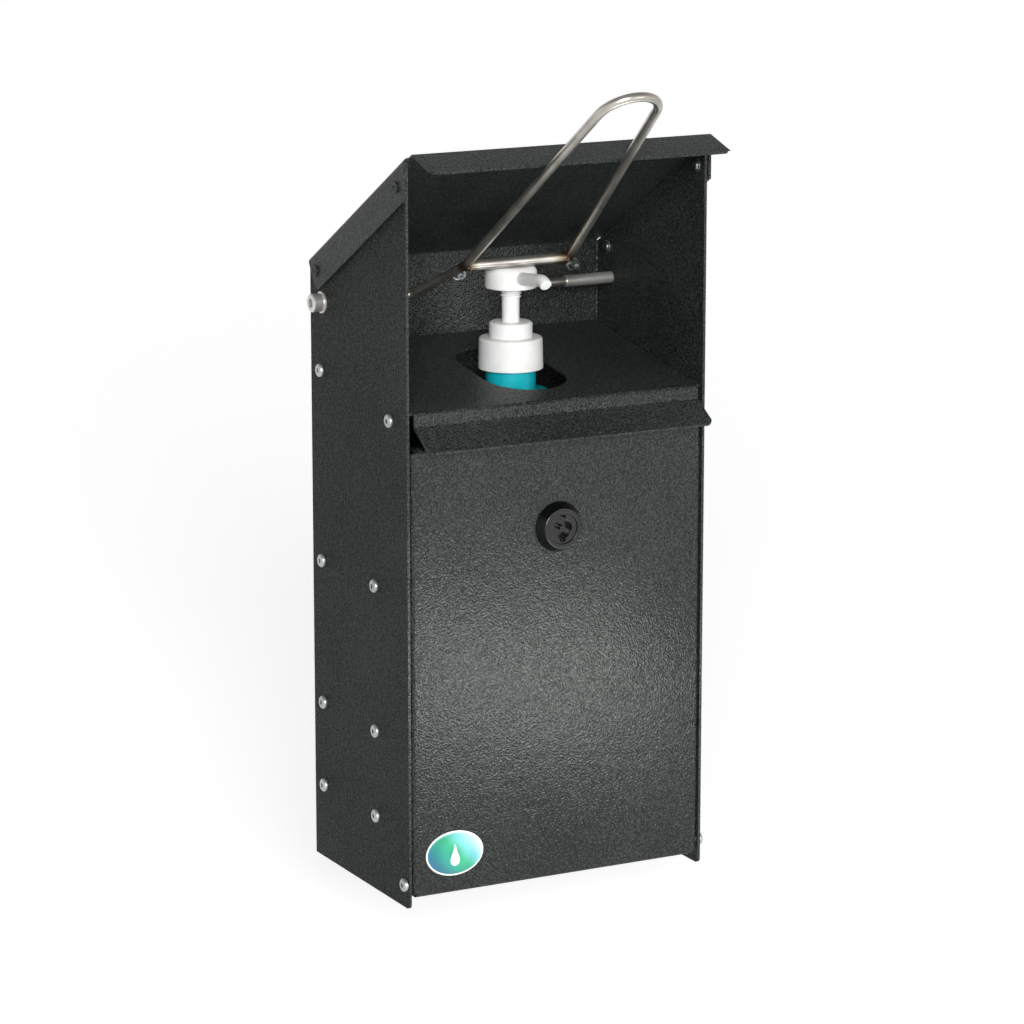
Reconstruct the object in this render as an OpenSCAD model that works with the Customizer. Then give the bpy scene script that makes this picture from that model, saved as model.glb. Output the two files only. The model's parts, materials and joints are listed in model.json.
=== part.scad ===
// Wall-mounted hand sanitizer dispenser: a folded sheet cabinet with an open hood above
// a sloping shelf, a locked lower bay for the bottle, and a bent rod lever that presses
// the pump. The origin is on the wall plane, at the middle of the width and at the foot
// of the cabinet. +Y points into the wall, +X to the viewer's right and +Z up.

/* [Cabinet] */
// Width over the two side panels
cabinet_w = 180; // [170:1:200]
// Depth from the wall plane to the front edges of the side panels
cabinet_d = 120; // [116:1:130]
// Height of the open recess, from the shelf's front edge to the front of the side panels
recess_h = 132.3; // [128:0.1:140]
// Slope of the roof, from front down to back
roof_angle = 30.4; // [28:0.2:31]
// Thickness of the steel sheet
sheet = 1.5; // [1.2:0.1:1.8]
// Inside radius of the sheet bends
bend_in = 1; // [0.8:0.1:1.1]
// Radius of the front bottom corners of the side panels
toe_r = 3; // [1:0.5:6]

/* [Hood] */
// Width of the hood's side flanges, square to the roof
hood_flange = 18; // [15:0.5:24]
// Play between the hood and the side panels, beside them and above their top edges
hood_gap = 0.35; // [0.35:0.01:0.4]
// How far the hood's side flanges reach in front of the side panels
hood_cheek = 1; // [0.5:0.5:3]
// How far the roof runs in front of the side panels, to its bend line
hood_reach = 5.1; // [4:0.1:7]
// Length of the hood's front lip
hood_lip = 23.2; // [15:0.2:23.2]
// Angle of the front lip below level
hood_lip_angle = 17; // [10:1:20]
// Radius of the lip's outer corners
hood_lip_r = 4; // [2:0.5:6]
// How much narrower than the cabinet the lip is at each end
hood_lip_inset = 1.5; // [1:0.5:5]

/* [Shelf] */
// Height of the shelf's top face at its front edge
shelf_front_h = 270.7; // [268:0.1:272]
// Rise of the shelf from front to back
shelf_angle = 8.5; // [7:0.1:9]
// Height of the shelf's front band
shelf_band = 7.1; // [6:0.1:9]
// Length of the drip lip below the band
shelf_lip = 20.7; // [14:0.1:21]
// Angle of the drip lip below level
shelf_lip_angle = 30.8; // [24:0.1:31]
// Depth of the shelf's side flanges
shelf_flange = 18; // [15:0.5:18]
// How much narrower than the shelf the band and the lip are at each end
shelf_notch = 2.7; // [2:0.1:5]
// Width of the round-ended hole for the bottle's neck
neck_hole_w = 48; // [44:1:54]
// Length of the hole for the bottle's neck, front to back
neck_hole_l = 76; // [64:1:76]

/* [Door] */
// Height of the door's lower edge above the foot of the cabinet
door_foot = 5.7; // [4.5:0.1:6.5]
// Play between the door and each side panel
door_gap = 0.5; // [0.3:0.1:1]
// Play between the door's swing and the drip lip
door_top_gap = 0.2; // [0.1:0.1:2]
// Depth of the door's side flanges
door_flange = 14; // [12:0.5:16]
// Depth of the door's top flange
door_top_flange = 6.6; // [5:0.1:6.8]
// Depth of the door's bottom flange
door_foot_flange = 10; // [8:0.5:10.5]
// Distance of the door's pivots behind its front face
door_pivot_in = 4.2; // [4:0.1:5]
// Height of the door's pivots above the door's lower edge
door_pivot_up = 7.3; // [7:0.1:9]
// Height of the door's upper corner notches below its top edge
door_notch = 2.1; // [2:0.1:4]

/* [Lock] */
// Distance of the lock below the shelf's front edge
lock_drop = 69.2; // [62:0.1:80]
// Diameter of the lock's bezel where it sits on the door
lock_bezel_d = 28; // [26:0.5:32]
// Diameter of the lock's front face
lock_face_d = 22; // [20:0.5:24]
// How far the lock stands out of the door
lock_proud = 6; // [5:0.5:8]
// Diameter of the lock's threaded barrel
lock_barrel_d = 20; // [19.5:0.5:22]
// Diameter of the turning plug
lock_plug_d = 17; // [15:0.5:17]
// Length of the cam from the plug's axis to its tip
cam_len = 45; // [43:0.5:48]
// Width of the cam
cam_w = 14; // [10:0.5:16]
// Thickness of the cam
cam_t = 2.5; // [2:0.1:3]

/* [Bottle] */
// Height of the tray's side screws above the foot of the cabinet, lowest position
tray_low_h = 42.1; // [40:0.1:50]
// Height of the middle pair of spare screw holes
tray_mid_h = 89.8; // [85:0.1:95]
// Height of the upper pair of spare screw holes
tray_top_h = 170.4; // [165:0.1:175]
// Height of the bottle's rim above the shelf, where the pump comes through
neck_above = 14.1; // [10:0.1:18]
// Width of the bottle
bottle_w = 92; // [80:1:100]
// Depth of the bottle as a share of the cabinet's depth
bottle_d_share = 0.55; // [0.5:0.01:0.55]
// Corner radius of the bottle, seen from above
bottle_r = 20; // [14:1:26]
// Wall of the bottle
bottle_wall = 1.4; // [1:0.1:2]
// Outer diameter of the bottle's neck
neck_d = 27.4; // [26:0.1:28.5]
// Diameter of the small ledge that the neck stands on
ledge_d = 41; // [36:0.5:41]

/* [Pump] */
// Distance of the pump's axis behind the front, as a share of the cabinet's depth
pump_in_share = 0.4583; // [0.44:0.005:0.47]
// Diameter of the screw closure
closure_d = 36; // [34:0.5:38]
// Height of the screw closure
closure_h = 17.2; // [15:0.1:19]
// Diameter of the collar on top of the closure
collar_d = 23.8; // [21:0.1:26]
// Height of the collar
collar_h = 8.4; // [7:0.1:9]
// Diameter of the stem
stem_d = 9.6; // [8.8:0.1:10]
// Diameter of the stem's threaded top
stem_thread_d = 11.7; // [11:0.1:13]
// Diameter of the pump head
head_d = 28.4; // [26:0.1:30]
// Height of the pump head's disc
head_h = 10.8; // [9:0.1:11]
// Distance from the pump's axis to the nozzle's mouth
nozzle_reach = 41; // [36:0.5:42]
// Outer diameter of the nozzle
nozzle_d = 6.8; // [6:0.1:7]
// Travel of the pump head
stroke = 12.5; // [9:0.1:12.5]

/* [Lever] */
// Diameter of the lever's rod
rod_d = 5; // [4.6:0.1:5.2]
// Diameter of the bar that presses the pump
bar_d = 6; // [5:0.1:6.4]
// Distance of the lever's pivots in front of the wall plane
pivot_out = 17.5; // [16:0.1:19]
// Distance of the lever's pivots below the rear top corner of the side panels
pivot_drop = 17.9; // [16:0.1:19]
// Distance of the bar in front of the pump's axis
bar_ahead = 7.8; // [6:0.1:9]
// Half the spread of the lever's legs at the pivots
leg_spread = 35; // [33:0.5:38]
// Half the spread of the lever's legs at the bar
bar_spread = 31.6; // [28:0.1:33]
// Play between the lever at rest and the hood's lip, which is its upper stop
lever_stop_gap = 0.66; // [0.4:0.02:4]
// Length of the lever from the bar to the centre of its end loop
lever_len = 150.5; // [120:0.5:160]
// Radius of the lever's end loop, at the middle of the rod
loop_r = 17; // [14:0.5:20]
// Length of the sleeves that carry the lever
sleeve_len = 30; // [26:0.5:34]
// Outer diameter of the sleeves
sleeve_d = 8; // [7.8:0.1:10]
// Running clearance round each turning or sliding shaft
run_gap = 0.05; // [0.03:0.01:0.08]

/* [Fixings] */
// Thread diameter of the side screws
side_screw_d = 4; // [3.5:0.1:4.5]
// Thread diameter of the hood screws
hood_screw_d = 3; // [2.6:0.1:3.5]
// Shank diameter of the wall screws
wall_screw_d = 3.5; // [3:0.1:4]
// Distance of the wall screws below the rear top corner of the side panels
wall_screw_drop = 11.4; // [11:0.1:14]
// Distance of the outer wall screws from the inside of the side panels
wall_screw_inset = 16.5; // [14:0.5:24]
// How far the wall screws stand out of the back
wall_screw_out = 22; // [15:1:40]
// Diameter of the two open holes low in the back
low_hole_d = 5.5; // [4:0.1:7]
// Height of the two low holes above the foot of the cabinet
low_hole_h = 22; // [18:0.5:24]

/* [Hidden] */

fine = 64;
round = 32;
cut = 1;
touch = 0.05;
hex = 6;
joint_gap = 0.05;
joint_ring_w = 0.4;
joint_ring_up = 0.02;

// Colours
powder = "#3a3e3e";
steel = "#b9b8b4";
zinc = "#9a9c9e";
white_pp = "#f2f2f0";
teal = "#16a7b0";
black_pa = "#17181a";

// Cabinet, worked out
side_front_h = shelf_front_h + recess_h;
side_rear_h = side_front_h - cabinet_d * tan(roof_angle);
lock_h = shelf_front_h - lock_drop;
pump_in = cabinet_d * pump_in_share;
bottle_d = cabinet_d * bottle_d_share;
pivot_h = side_rear_h - pivot_drop;
wall_screw_h = side_rear_h - wall_screw_drop;
half_w = cabinet_w / 2;
inner_x = half_w - sheet;
wall_pitch = inner_x - wall_screw_inset;
rear_screw_out = 14.5;
bend_out = bend_in + sheet;
part_gap = 0.2;
liner_x = inner_x - part_gap;

// Front edges of things lie at a distance behind the front edges of the side panels
function behind(v) = v - cabinet_d;
function setback(turn, r) = r * tan(abs(turn) / 2);

// Roof and hood
roof_run = cabinet_d / cos(roof_angle);
hood_half = half_w + hood_gap + sheet;
hood_under = hood_gap;
hood_top = hood_gap + sheet;
hood_lip_half = half_w - hood_lip_inset;
hood_fold = roof_angle + hood_lip_angle;
hood_fold_at = (hood_reach + hood_top * sin(roof_angle)) / cos(roof_angle);
hood_tail = 1.2;
hood_wall_gap = 0.1;
back_seat = 0.1;
hood_flange_tail = 3.6;
hood_corner_r = 5;
hood_screw_in = 9.4;
hood_screw_front = 8;
hood_screw_out = 13;
hood_screw_back = cabinet_d - hood_screw_out;

// Shelf
shelf_rear_gap = 0.4;
shelf_half = liner_x;
shelf_fold = 90 - shelf_angle;
shelf_lip_fold = 90 - shelf_lip_angle;
shelf_lip_r = 4;
shelf_flange_front = 5;
shelf_screw_in = 9.6;
shelf_screw_front = 20.1;
shelf_screw_back = cabinet_d - rear_screw_out;
shelf_lip_half = shelf_half - shelf_notch;
function shelf_top(v) = shelf_front_h + v * tan(shelf_angle);
function shelf_under(v) = shelf_top(v) - sheet / cos(shelf_angle);

// Door
lip_root_h = shelf_front_h - shelf_band;
lip_edge_h = lip_root_h - shelf_lip * sin(shelf_lip_angle) - sheet * cos(shelf_lip_angle);
door_top_h = lip_edge_h - door_top_gap;
door_half = inner_x - door_gap;
door_strip_half = door_half - shelf_notch + door_gap - part_gap;
door_notch_foot = 2.2;
door_pivot_h = door_foot + door_pivot_up;

// Lock
lock_recess_d = 11;
lock_pin_d = 3.4;
lock_key_depth = 4;
lock_slot_w = 3.2;
lock_slot_reach = 7.4;
lock_barrel_back = 9.6;
lock_nut_t = 4;
lock_nut_af = 26;
plug_recess = 0.8;
cam_gap = 0.4;
cam_square = 8;
cam_screw_d = 5;
cam_head_d = 9;
cam_head_t = 2.6;

// Latch keeper: the cam passes behind it with a small play
keeper_gap = 0.5;
keeper_overlap = 6.5;
keeper_w = 30;
keeper_foot = 7;
cam_front = lock_barrel_back + cam_gap;
keeper_back = cam_front - keeper_gap;
keeper_foot_h = lock_h + cam_len - keeper_overlap;

// Tray and bottle
tray_flange = 15;
tray_play = 5;
tray_front = pump_in - bottle_d / 2 - tray_play;
tray_rear_gap = 4;
tray_back = cabinet_d - tray_rear_gap;
tray_rim = 9;
tray_screw_front = 39.5;
neck_len = 26.3;
tray_screw_back = cabinet_d - rear_screw_out;
tray_top_z = tray_low_h + tray_flange / 2;
floor_front = 16;
floor_under = 7;
floor_flange = 10;
neck_top_z = shelf_top(pump_in) + neck_above;
ledge_z = neck_top_z - neck_len;
ledge_t = 2;
shoulder_h = 26;
base_wall = 2;

// Pump, from the bottle's neck upwards
gasket_t = 1;
closure_wall = 2;
closure_top_z = neck_top_z + gasket_t + closure_wall;
closure_foot_z = closure_top_z - closure_h;
collar_top_z = closure_top_z + collar_h;
stem_seat = 0.5;
thread_foot_z = collar_top_z + stroke + stem_seat;
thread_len = 5.6;
head_foot_z = thread_foot_z + thread_len;
head_top_z = head_foot_z + head_h;
crown_up = 1.2;
crown_top_z = head_top_z + crown_up;
chamber_d = 13;
chamber_wall = 1.2;
chamber_len = 62;
chamber_foot_z = closure_top_z - chamber_len;
chamber_bore = chamber_d - 2 * chamber_wall;
piston_d = chamber_bore - 2 * run_gap;
stem_bore = 4;
stem_hidden = 38;
stem_foot_z = collar_top_z - stem_hidden;
piston_h = 6;
spigot_d = 7;
spigot_len = 6;
spring_wire = 0.9;
spring_coils = 7;
spring_seat = 10.5;
spring_play = 0.3;
spring_foot_z = chamber_foot_z + spring_seat;
spring_top_z = stem_foot_z - piston_h - spring_play;
ball_d = 4;
tube_d = 5;
tube_wall = 0.8;
tube_clear = 4;
tube_len = chamber_foot_z - tray_top_z - base_wall - tube_clear;

// Lever, worked out from the pivots and from the pump head that it presses
press_gap = 0.3;
bar_z = crown_top_z + press_gap + bar_d / 2;
bar_in = pump_in - bar_ahead;
pivot_in = cabinet_d - pivot_out;
arm_run = pivot_in - bar_in;
arm_up = bar_z - pivot_h;
arm_len = sqrt(arm_run * arm_run + arm_up * arm_up);
arm_rise = atan2(arm_up, arm_run);
rod_r = rod_d / 2;

// The hood's lip at its lower outer corner stops the lever, so it sets the lever's rise
lip_out = hood_reach + hood_lip * cos(hood_lip_angle) - sheet * sin(hood_lip_angle);
lip_up = side_front_h + (hood_reach * tan(roof_angle) + hood_top / cos(roof_angle))
    - hood_lip * sin(hood_lip_angle) - sheet * cos(hood_lip_angle);
stop_run = bar_in + lip_out;
stop_up = lip_up - bar_z;
lever_rise = atan2(stop_up, stop_run)
    - asin((rod_r + lever_stop_gap) / norm([stop_run, stop_up]));
pin_depth = 18;
pin_bend_r = 6;
knee_r = 8;
sleeve_bore_r = rod_r + run_gap;
sleeve_tap_d = 6;
sleeve_tap_len = 10;
pivot_head_d = 10;
pivot_head_h = 6;
pivot_washer_d = 12;
pivot_washer_t = 1.2;
screw_play = 0.05;

// Sheet metal profile: straight runs joined by bends, drawn from the origin along +X.
// The sheet lies to the left of the line, and a positive turn bends to the left.
bend_steps = 5;

function bend_centre(turn) = turn > 0 ? sheet + bend_in : -bend_in;

function bend_arc(centre, r, from, turn) = [for (i = [0 : bend_steps]) let (
    a = from + turn * i / bend_steps)
    centre + r * [cos(a), sin(a)]];

// The points along one face of the profile, at an offset from its line
function face_line(runs, turns, offset, i = 0, at = [0, 0], dir = 0) = let (
    along = [cos(dir), sin(dir)],
    left = [-sin(dir), cos(dir)],
    last = i == len(turns),
    turn = last ? 0 : turns[i],
    reach = bend_centre(turn),
    centre = at + runs[i] * along + reach * left,
    next_left = [-sin(dir + turn), cos(dir + turn)],
    start = i == 0 ? [at + offset * left] : [])
    concat(start, last ? [at + runs[i] * along + offset * left]
        : concat(bend_arc(centre, abs(reach - offset), dir + (turn > 0 ? -90 : 90), turn),
            face_line(runs, turns, offset, i + 1, centre - reach * next_left, dir + turn)));

module bent(runs, turns) {
    near = face_line(runs, turns, 0);
    far = face_line(runs, turns, sheet);
    polygon(concat(near, [for (i = [len(far) - 1 : -1 : 0]) far[i]]));
}

// Channel with two side flanges pointing down, its top face at z = 0, along +Y
module channel(half, flange, length) {
    straight = flange - bend_out;
    across = 2 * (half - bend_out);
    rotate([90, 0, 0]) translate([-half, -flange, -length]) linear_extrude(length)
        translate([sheet, 0]) rotate(90) bent([straight, across, straight], [-90, -90]);
}

// A profile whose +X points to the viewer and +Y up, made as wide as asked
module side_profile(w) {
    rotate([90, 0, -90]) linear_extrude(w, center = true) children();
}

// The waste outside a rounded corner that points to +X and +Y, cut through a sheet
module corner_waste(r) {
    translate([-r, -r, -cut]) linear_extrude(sheet + 2 * cut) difference() {
        square(r + cut);
        circle(r = r, $fn = fine);
    }
}

// Things on both sides: drawn for the right side and mirrored to the left
module both_sides() {
    children();
    mirror([1, 0, 0]) children();
}

// A cylinder along +X whose foot is at the origin
module along_x(r, length, sides = round) {
    rotate([0, 90, 0]) cylinder(r = r, h = length, $fn = sides);
}

// A cylinder along +Y whose foot is at the origin
module along_y(r, length, sides = round) {
    rotate([-90, 0, 0]) cylinder(r = r, h = length, $fn = sides);
}

// A thin ring round the joint between a straight run and a bend
module joint_ring(r) {
    translate([-joint_ring_w / 2, 0, 0]) along_x(r + joint_ring_up, joint_ring_w, fine);
}

// A round bar that runs along +X and bends towards +Y
module pipe(r, runs, turns, bends, i = 0) {
    first = i == 0 ? 0 : joint_gap;
    last = i == len(turns) ? 0 : joint_gap;
    translate([first, 0, 0]) along_x(r, runs[i] - first - last, fine);
    if (i > 0) joint_ring(r);
    if (i < len(turns)) translate([runs[i], 0, 0]) {
        joint_ring(r);
        translate([0, bends[i], 0]) {
            rotate([0, 0, -90]) rotate_extrude(angle = turns[i], $fn = fine)
                translate([bends[i], 0]) circle(r = r, $fn = fine);
            rotate([0, 0, turns[i]]) translate([0, -bends[i], 0])
                pipe(r, runs, turns, bends, i + 1);
        }
    }
}

// Places of the side screws as distances behind the front edge and heights
side_places = [
    [tray_screw_front, tray_low_h], [tray_screw_back, tray_low_h],
    [tray_screw_front, tray_mid_h], [tray_screw_back, tray_mid_h],
    [tray_screw_front, tray_top_h], [tray_screw_back, tray_top_h]
];
tray_places = [side_places[0], side_places[1]];
spare_places = [side_places[2], side_places[3], side_places[4], side_places[5]];
function shelf_place(v) = [v, shelf_top(v) - shelf_screw_in / cos(shelf_angle)];
shelf_places = [shelf_place(shelf_screw_front), shelf_place(shelf_screw_back)];
function hood_place(v) = [v, side_front_h - v * tan(roof_angle)
    + (hood_top - hood_screw_in) / cos(roof_angle)];
hood_places = [hood_place(hood_screw_front), hood_place(hood_screw_back)];

// Move to a place on the side wall
module on_side(place, x = 0) {
    translate([x, behind(place[0]), place[1]]) children();
}

// Body
hole_play = 0.15;
wall_hole_play = 0.25;

module body_shell() {
    shell_side = cabinet_d - bend_out;
    shell_back = 2 * (half_w - bend_out);
    color(powder) difference() {
        translate([half_w, -cabinet_d, 0]) linear_extrude(side_front_h)
            rotate(90) bent([shell_side, shell_back, shell_side], [90, 90]);
        difference() {
            roof_plane();
            translate([-half_w + bend_out, -sheet - cut, 0])
                cube([2 * (half_w - bend_out), sheet + 2 * cut, side_front_h]);
        }
        translate([0, 0, (hood_under - back_seat) / cos(roof_angle)]) roof_plane();
        toe_corners();
        for (place = concat(side_places, shelf_places))
            on_side(place, -half_w - cut)
                along_x(side_screw_d / 2 + hole_play, cabinet_w + 2 * cut);
        for (place = hood_places)
            on_side(place, -half_w - cut)
                along_x(hood_screw_d / 2 + hole_play, cabinet_w + 2 * cut);
        on_side([pivot_in, pivot_h], -half_w - cut)
            along_x(sleeve_tap_d / 2 + hole_play, cabinet_w + 2 * cut);
        on_side([door_pivot_in, door_pivot_h], -half_w - cut)
            along_x(side_screw_d / 2 + run_gap, cabinet_w + 2 * cut);
        for (i = [-1 : 1])
            translate([i * wall_pitch, -sheet - cut, wall_screw_h])
                along_y(wall_screw_d / 2 + wall_hole_play, sheet + 2 * cut);
        for (i = [-1, 1])
            translate([i * wall_pitch, -sheet - cut, low_hole_h])
                along_y(low_hole_d / 2, sheet + 2 * cut);
    }
}

module roof_plane() {
    translate([-cabinet_w, behind(0), side_front_h]) rotate([-roof_angle, 0, 0])
        translate([0, -cabinet_d, 0]) cube([2 * cabinet_w, 3 * cabinet_d, side_front_h]);
}

module toe_corners() {
    translate([0, behind(0), 0]) side_profile(cabinet_w + 2 * cut) difference() {
        translate([-toe_r, -cut]) square([toe_r + cut, toe_r + cut]);
        translate([-toe_r, toe_r]) circle(r = toe_r, $fn = fine);
    }
}

module floor_pan() {
    pan_len = cabinet_d - sheet - part_gap - floor_front;
    color(powder) translate([0, behind(floor_front), floor_under])
        mirror([0, 0, 1]) channel(inner_x, floor_flange, pan_len);
}

// Hood: a channel over the side panels and a strip that folds down into the front lip
module hood_frame() {
    translate([0, behind(0), side_front_h]) rotate([-roof_angle, 0, 0])
        translate([0, 0, hood_top]) children();
}

module hood() {
    fold_back = setback(hood_fold, bend_out);
    tongue = hood_fold_at + 2 * bend_out;
    roof_len = roof_run + sheet;
    color(powder) difference() {
        union() {
            difference() {
                hood_frame() translate([0, -hood_flange, 0])
                    channel(hood_half, hood_flange + sheet, roof_len + hood_flange);
                hood_front_trim();
                hood_rear_trim();
                translate([-cabinet_w, -hood_wall_gap, 0])
                    cube([2 * cabinet_w, cabinet_d, 2 * side_front_h]);
            }
            translate([0, behind(0), side_front_h]) side_profile(2 * hood_lip_half)
                rotate(roof_angle)
                translate([hood_fold_at - tongue, hood_under])
                bent([tongue - fold_back, hood_lip - fold_back], [-hood_fold]);
        }
        hood_lip_corners();
        for (place = hood_places)
            on_side(place, -hood_half - cut)
                along_x(press_nut_barrel_d / 2, 2 * (hood_half + cut));
    }
}

// The flanges reach a little in front of the side panels and end square to the ground
module hood_front_trim() {
    translate([-cabinet_w, behind(-hood_cheek - cabinet_d), 0])
        cube([2 * cabinet_w, cabinet_d, 2 * side_front_h]);
}

// Cuts the flanges and the roof's corners square at the back, with a rounded lower corner
module hood_rear_trim() {
    cut_at = roof_run - hood_tail - hood_flange_tail;
    hood_frame() for (s = [-1, 1])
        translate([s * hood_half - cut - bend_out, cut_at, -hood_flange - sheet - cut])
            union() {
                cube([2 * (bend_out + cut), 2 * hood_flange, hood_flange + sheet + 2 * cut]);
                translate([0, -hood_corner_r, 0]) rotate([90, 0, 90])
                    linear_extrude(2 * (bend_out + cut)) difference() {
                        square([hood_corner_r + cut, hood_corner_r + cut]);
                        translate([0, hood_corner_r + cut]) circle(r = hood_corner_r, $fn = fine);
                    }
            }
}

module hood_lip_corners() {
    lip_z = hood_fold_at * sin(roof_angle) + hood_top * cos(roof_angle);
    for (s = [0, 1])
        mirror([s, 0, 0])
            translate([0, behind(-hood_reach), side_front_h + lip_z])
            rotate([hood_lip_angle, 0, 0])
            translate([hood_lip_half, -hood_lip, -sheet - cut])
            mirror([0, 1, 0]) corner_waste(hood_lip_r);
}

// Press nuts in the hood's flanges, closed on the outside
press_nut_head_d = 6.4;
press_nut_head_t = 1;
press_nut_barrel_d = 4.8;
press_nut_dimple = 0.5;
press_nut_dimple_d = 3.2;

module hood_press_nuts() {
    color(powder) both_sides() for (place = hood_places)
        on_side(place, half_w + hood_gap) difference() {
            union() {
                along_x(press_nut_barrel_d / 2 - touch, sheet);
                translate([sheet, 0, 0])
                    along_x(press_nut_head_d / 2, press_nut_head_t);
            }
            translate([-cut, 0, 0])
                along_x(hood_screw_d / 2 + screw_play, sheet + cut);
            translate([sheet + press_nut_head_t - press_nut_dimple, 0, 0])
                rotate([0, 90, 0]) cylinder(r1 = 0, r2 = press_nut_dimple_d / 2,
                    h = press_nut_dimple + touch, $fn = round);
        }
}

// Button head screw along -X with the underside of its head at the origin. The shares are
// the head's width, the head's height and the socket's width, each as a share of the thread.
dome_steps = 4;
button_shares = [1.9, 0.55, 0.6];
hood_button_shares = [1.9, 0.6, 0.55];
button_rim_share = 0.3;
button_crown_share = 0.62;
button_floor_share = 1 / 3;

module button_screw(d, shank, shares = button_shares) {
    head_r = d * shares[0] / 2;
    head_t = d * shares[1];
    socket_r = d * shares[2] / 2 / cos(30);
    crown = [for (i = [0 : dome_steps]) let (a = 90 * i / dome_steps)
        [head_r * (button_crown_share + (1 - button_crown_share) * cos(a)),
         head_t * (button_rim_share + (1 - button_rim_share) * sin(a))]];
    difference() {
        rotate([0, 90, 0]) rotate_extrude($fn = fine)
            polygon(concat([[0, -shank], [d / 2, -shank], [d / 2, 0], [head_r, 0]],
                crown, [[0, head_t]]));
        translate([head_t * button_floor_share, 0, 0]) along_x(socket_r, head_t, hex);
    }
}

side_nut_af_share = 1.75;
side_nut_t = 3.2;

module side_screws() {
    lined = sheet + part_gap + sheet + side_nut_t + touch;
    bare = sheet + side_nut_t + touch;
    color(steel) both_sides() {
        for (place = concat(tray_places, shelf_places))
            on_side(place, half_w) button_screw(side_screw_d, lined);
        for (place = spare_places)
            on_side(place, half_w) button_screw(side_screw_d, bare);
    }
}

// Hexagon nut along -X with its bearing face at the origin
module side_nut() {
    difference() {
        translate([-side_nut_t, 0, 0])
            along_x(side_screw_d * side_nut_af_share / 2 / cos(30), side_nut_t, hex);
        translate([-side_nut_t - cut, 0, 0])
            along_x(side_screw_d / 2 + screw_play, side_nut_t + 2 * cut);
    }
}

module shelf_nuts() {
    color(zinc) both_sides() for (place = shelf_places)
        on_side(place, liner_x - sheet) rotate([-shelf_angle, 0, 0]) side_nut();
}

module tray_nuts() {
    color(zinc) both_sides() for (place = tray_places)
        on_side(place, liner_x - sheet) side_nut();
}

module spare_hole_nuts() {
    color(zinc) both_sides() for (place = spare_places)
        on_side(place, inner_x) side_nut();
}

// Hood screws go in from inside the recess, each with a washer
hood_washer_d = 7;
hood_washer_t = 0.5;

module hood_screws() {
    shank = hood_washer_t + sheet + hood_gap + sheet - touch;
    color(steel) both_sides() for (place = hood_places)
        on_side(place, inner_x - hood_washer_t) mirror([1, 0, 0])
            button_screw(hood_screw_d, shank, hood_button_shares);
}

module hood_screw_washers() {
    color(steel) both_sides() for (place = hood_places)
        on_side(place, inner_x - hood_washer_t) difference() {
            along_x(hood_washer_d / 2, hood_washer_t);
            translate([-cut, 0, 0])
                along_x(hood_screw_d / 2 + hole_play, hood_washer_t + 2 * cut);
        }
}

// Shelf: a channel that slopes down to the front, a band and a drip lip
module shelf_frame() {
    translate([0, behind(0), shelf_front_h]) rotate([shelf_angle, 0, 0]) children();
}

module shelf() {
    fold_back = setback(shelf_fold, bend_out);
    lip_back = setback(shelf_lip_fold, bend_in);
    channel_front = shelf_flange_front;
    lip_run = shelf_lip - lip_back;
    band_run = shelf_band - fold_back - lip_back;
    round_l = neck_hole_l - neck_hole_w;
    color(powder) difference() {
        union() {
            shelf_frame() translate([0, channel_front, 0])
                channel(shelf_half, shelf_flange, cabinet_d);
            shelf_frame() translate([-shelf_half, fold_back, -sheet])
                cube([2 * shelf_half, 2 * channel_front, sheet]);
            translate([0, behind(0), shelf_front_h]) side_profile(2 * shelf_lip_half)
                rotate(-shelf_angle) translate([-channel_front, -sheet])
                bent([channel_front - fold_back, band_run, lip_run],
                    [-shelf_fold, shelf_lip_fold]);
        }
        translate([-half_w, behind(cabinet_d - sheet - shelf_rear_gap), 0])
            cube([cabinet_w, cabinet_d, side_front_h]);
        shelf_frame() translate([0, pump_in / cos(shelf_angle), -sheet - cut])
            linear_extrude(sheet + 2 * cut) {
                square([neck_hole_w, round_l], center = true);
                for (s = [-1, 1])
                    translate([0, s * round_l / 2]) circle(d = neck_hole_w, $fn = fine);
            }
        for (place = shelf_places)
            on_side(place, -half_w)
                along_x(side_screw_d / 2 + hole_play, cabinet_w);
        for (s = [0, 1])
            mirror([s, 0, 0]) translate([0, behind(0), lip_root_h])
                rotate([shelf_lip_angle, 0, 0])
                translate([shelf_lip_half, -shelf_lip, -sheet - cut])
                mirror([0, 1, 0]) corner_waste(shelf_lip_r);
    }
}

// The keeper hangs from the shelf, and the lock's cam turns up behind it
module latch_keeper() {
    front = keeper_back - sheet;
    top = shelf_under(front);
    color(powder) {
        translate([-keeper_w / 2, behind(front), keeper_foot_h])
            cube([keeper_w, sheet, top - keeper_foot_h - sheet]);
        translate([0, behind(0), 0]) side_profile(keeper_w)
            polygon([
                [-front, top], [-front, top - 2 * sheet],
                [-front - sheet, top - 2 * sheet],
                [-front - sheet, shelf_under(front + sheet) - sheet],
                [-front - keeper_foot, shelf_under(front + keeper_foot) - sheet],
                [-front - keeper_foot, shelf_under(front + keeper_foot)]
            ]);
    }
}

// Tray: a channel between the side panels, with a low rim at the front
module bottle_tray() {
    plate_front = tray_front + bend_out;
    color(powder) difference() {
        union() {
            translate([0, behind(plate_front), tray_top_z])
                channel(liner_x, tray_flange, tray_back - plate_front);
            translate([0, behind(tray_front + 3 * bend_out), tray_top_z - sheet])
                side_profile(2 * (liner_x - shelf_notch))
                bent([2 * bend_out, tray_rim - bend_in], [90]);
        }
        for (place = tray_places)
            on_side(place, -half_w)
                along_x(side_screw_d / 2 + hole_play, cabinet_w);
    }
}

// Wall screws, seen inside the recess on the back, each with a waist where it passes the sheet
wall_head_d = 5.6;
wall_head_h = 4.2;
wall_head_socket = 3;
wall_washer_d = 7.6;
wall_washer_t = 0.8;
wall_waist_d = 2.4;
wall_waist_out = 0.5;

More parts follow.
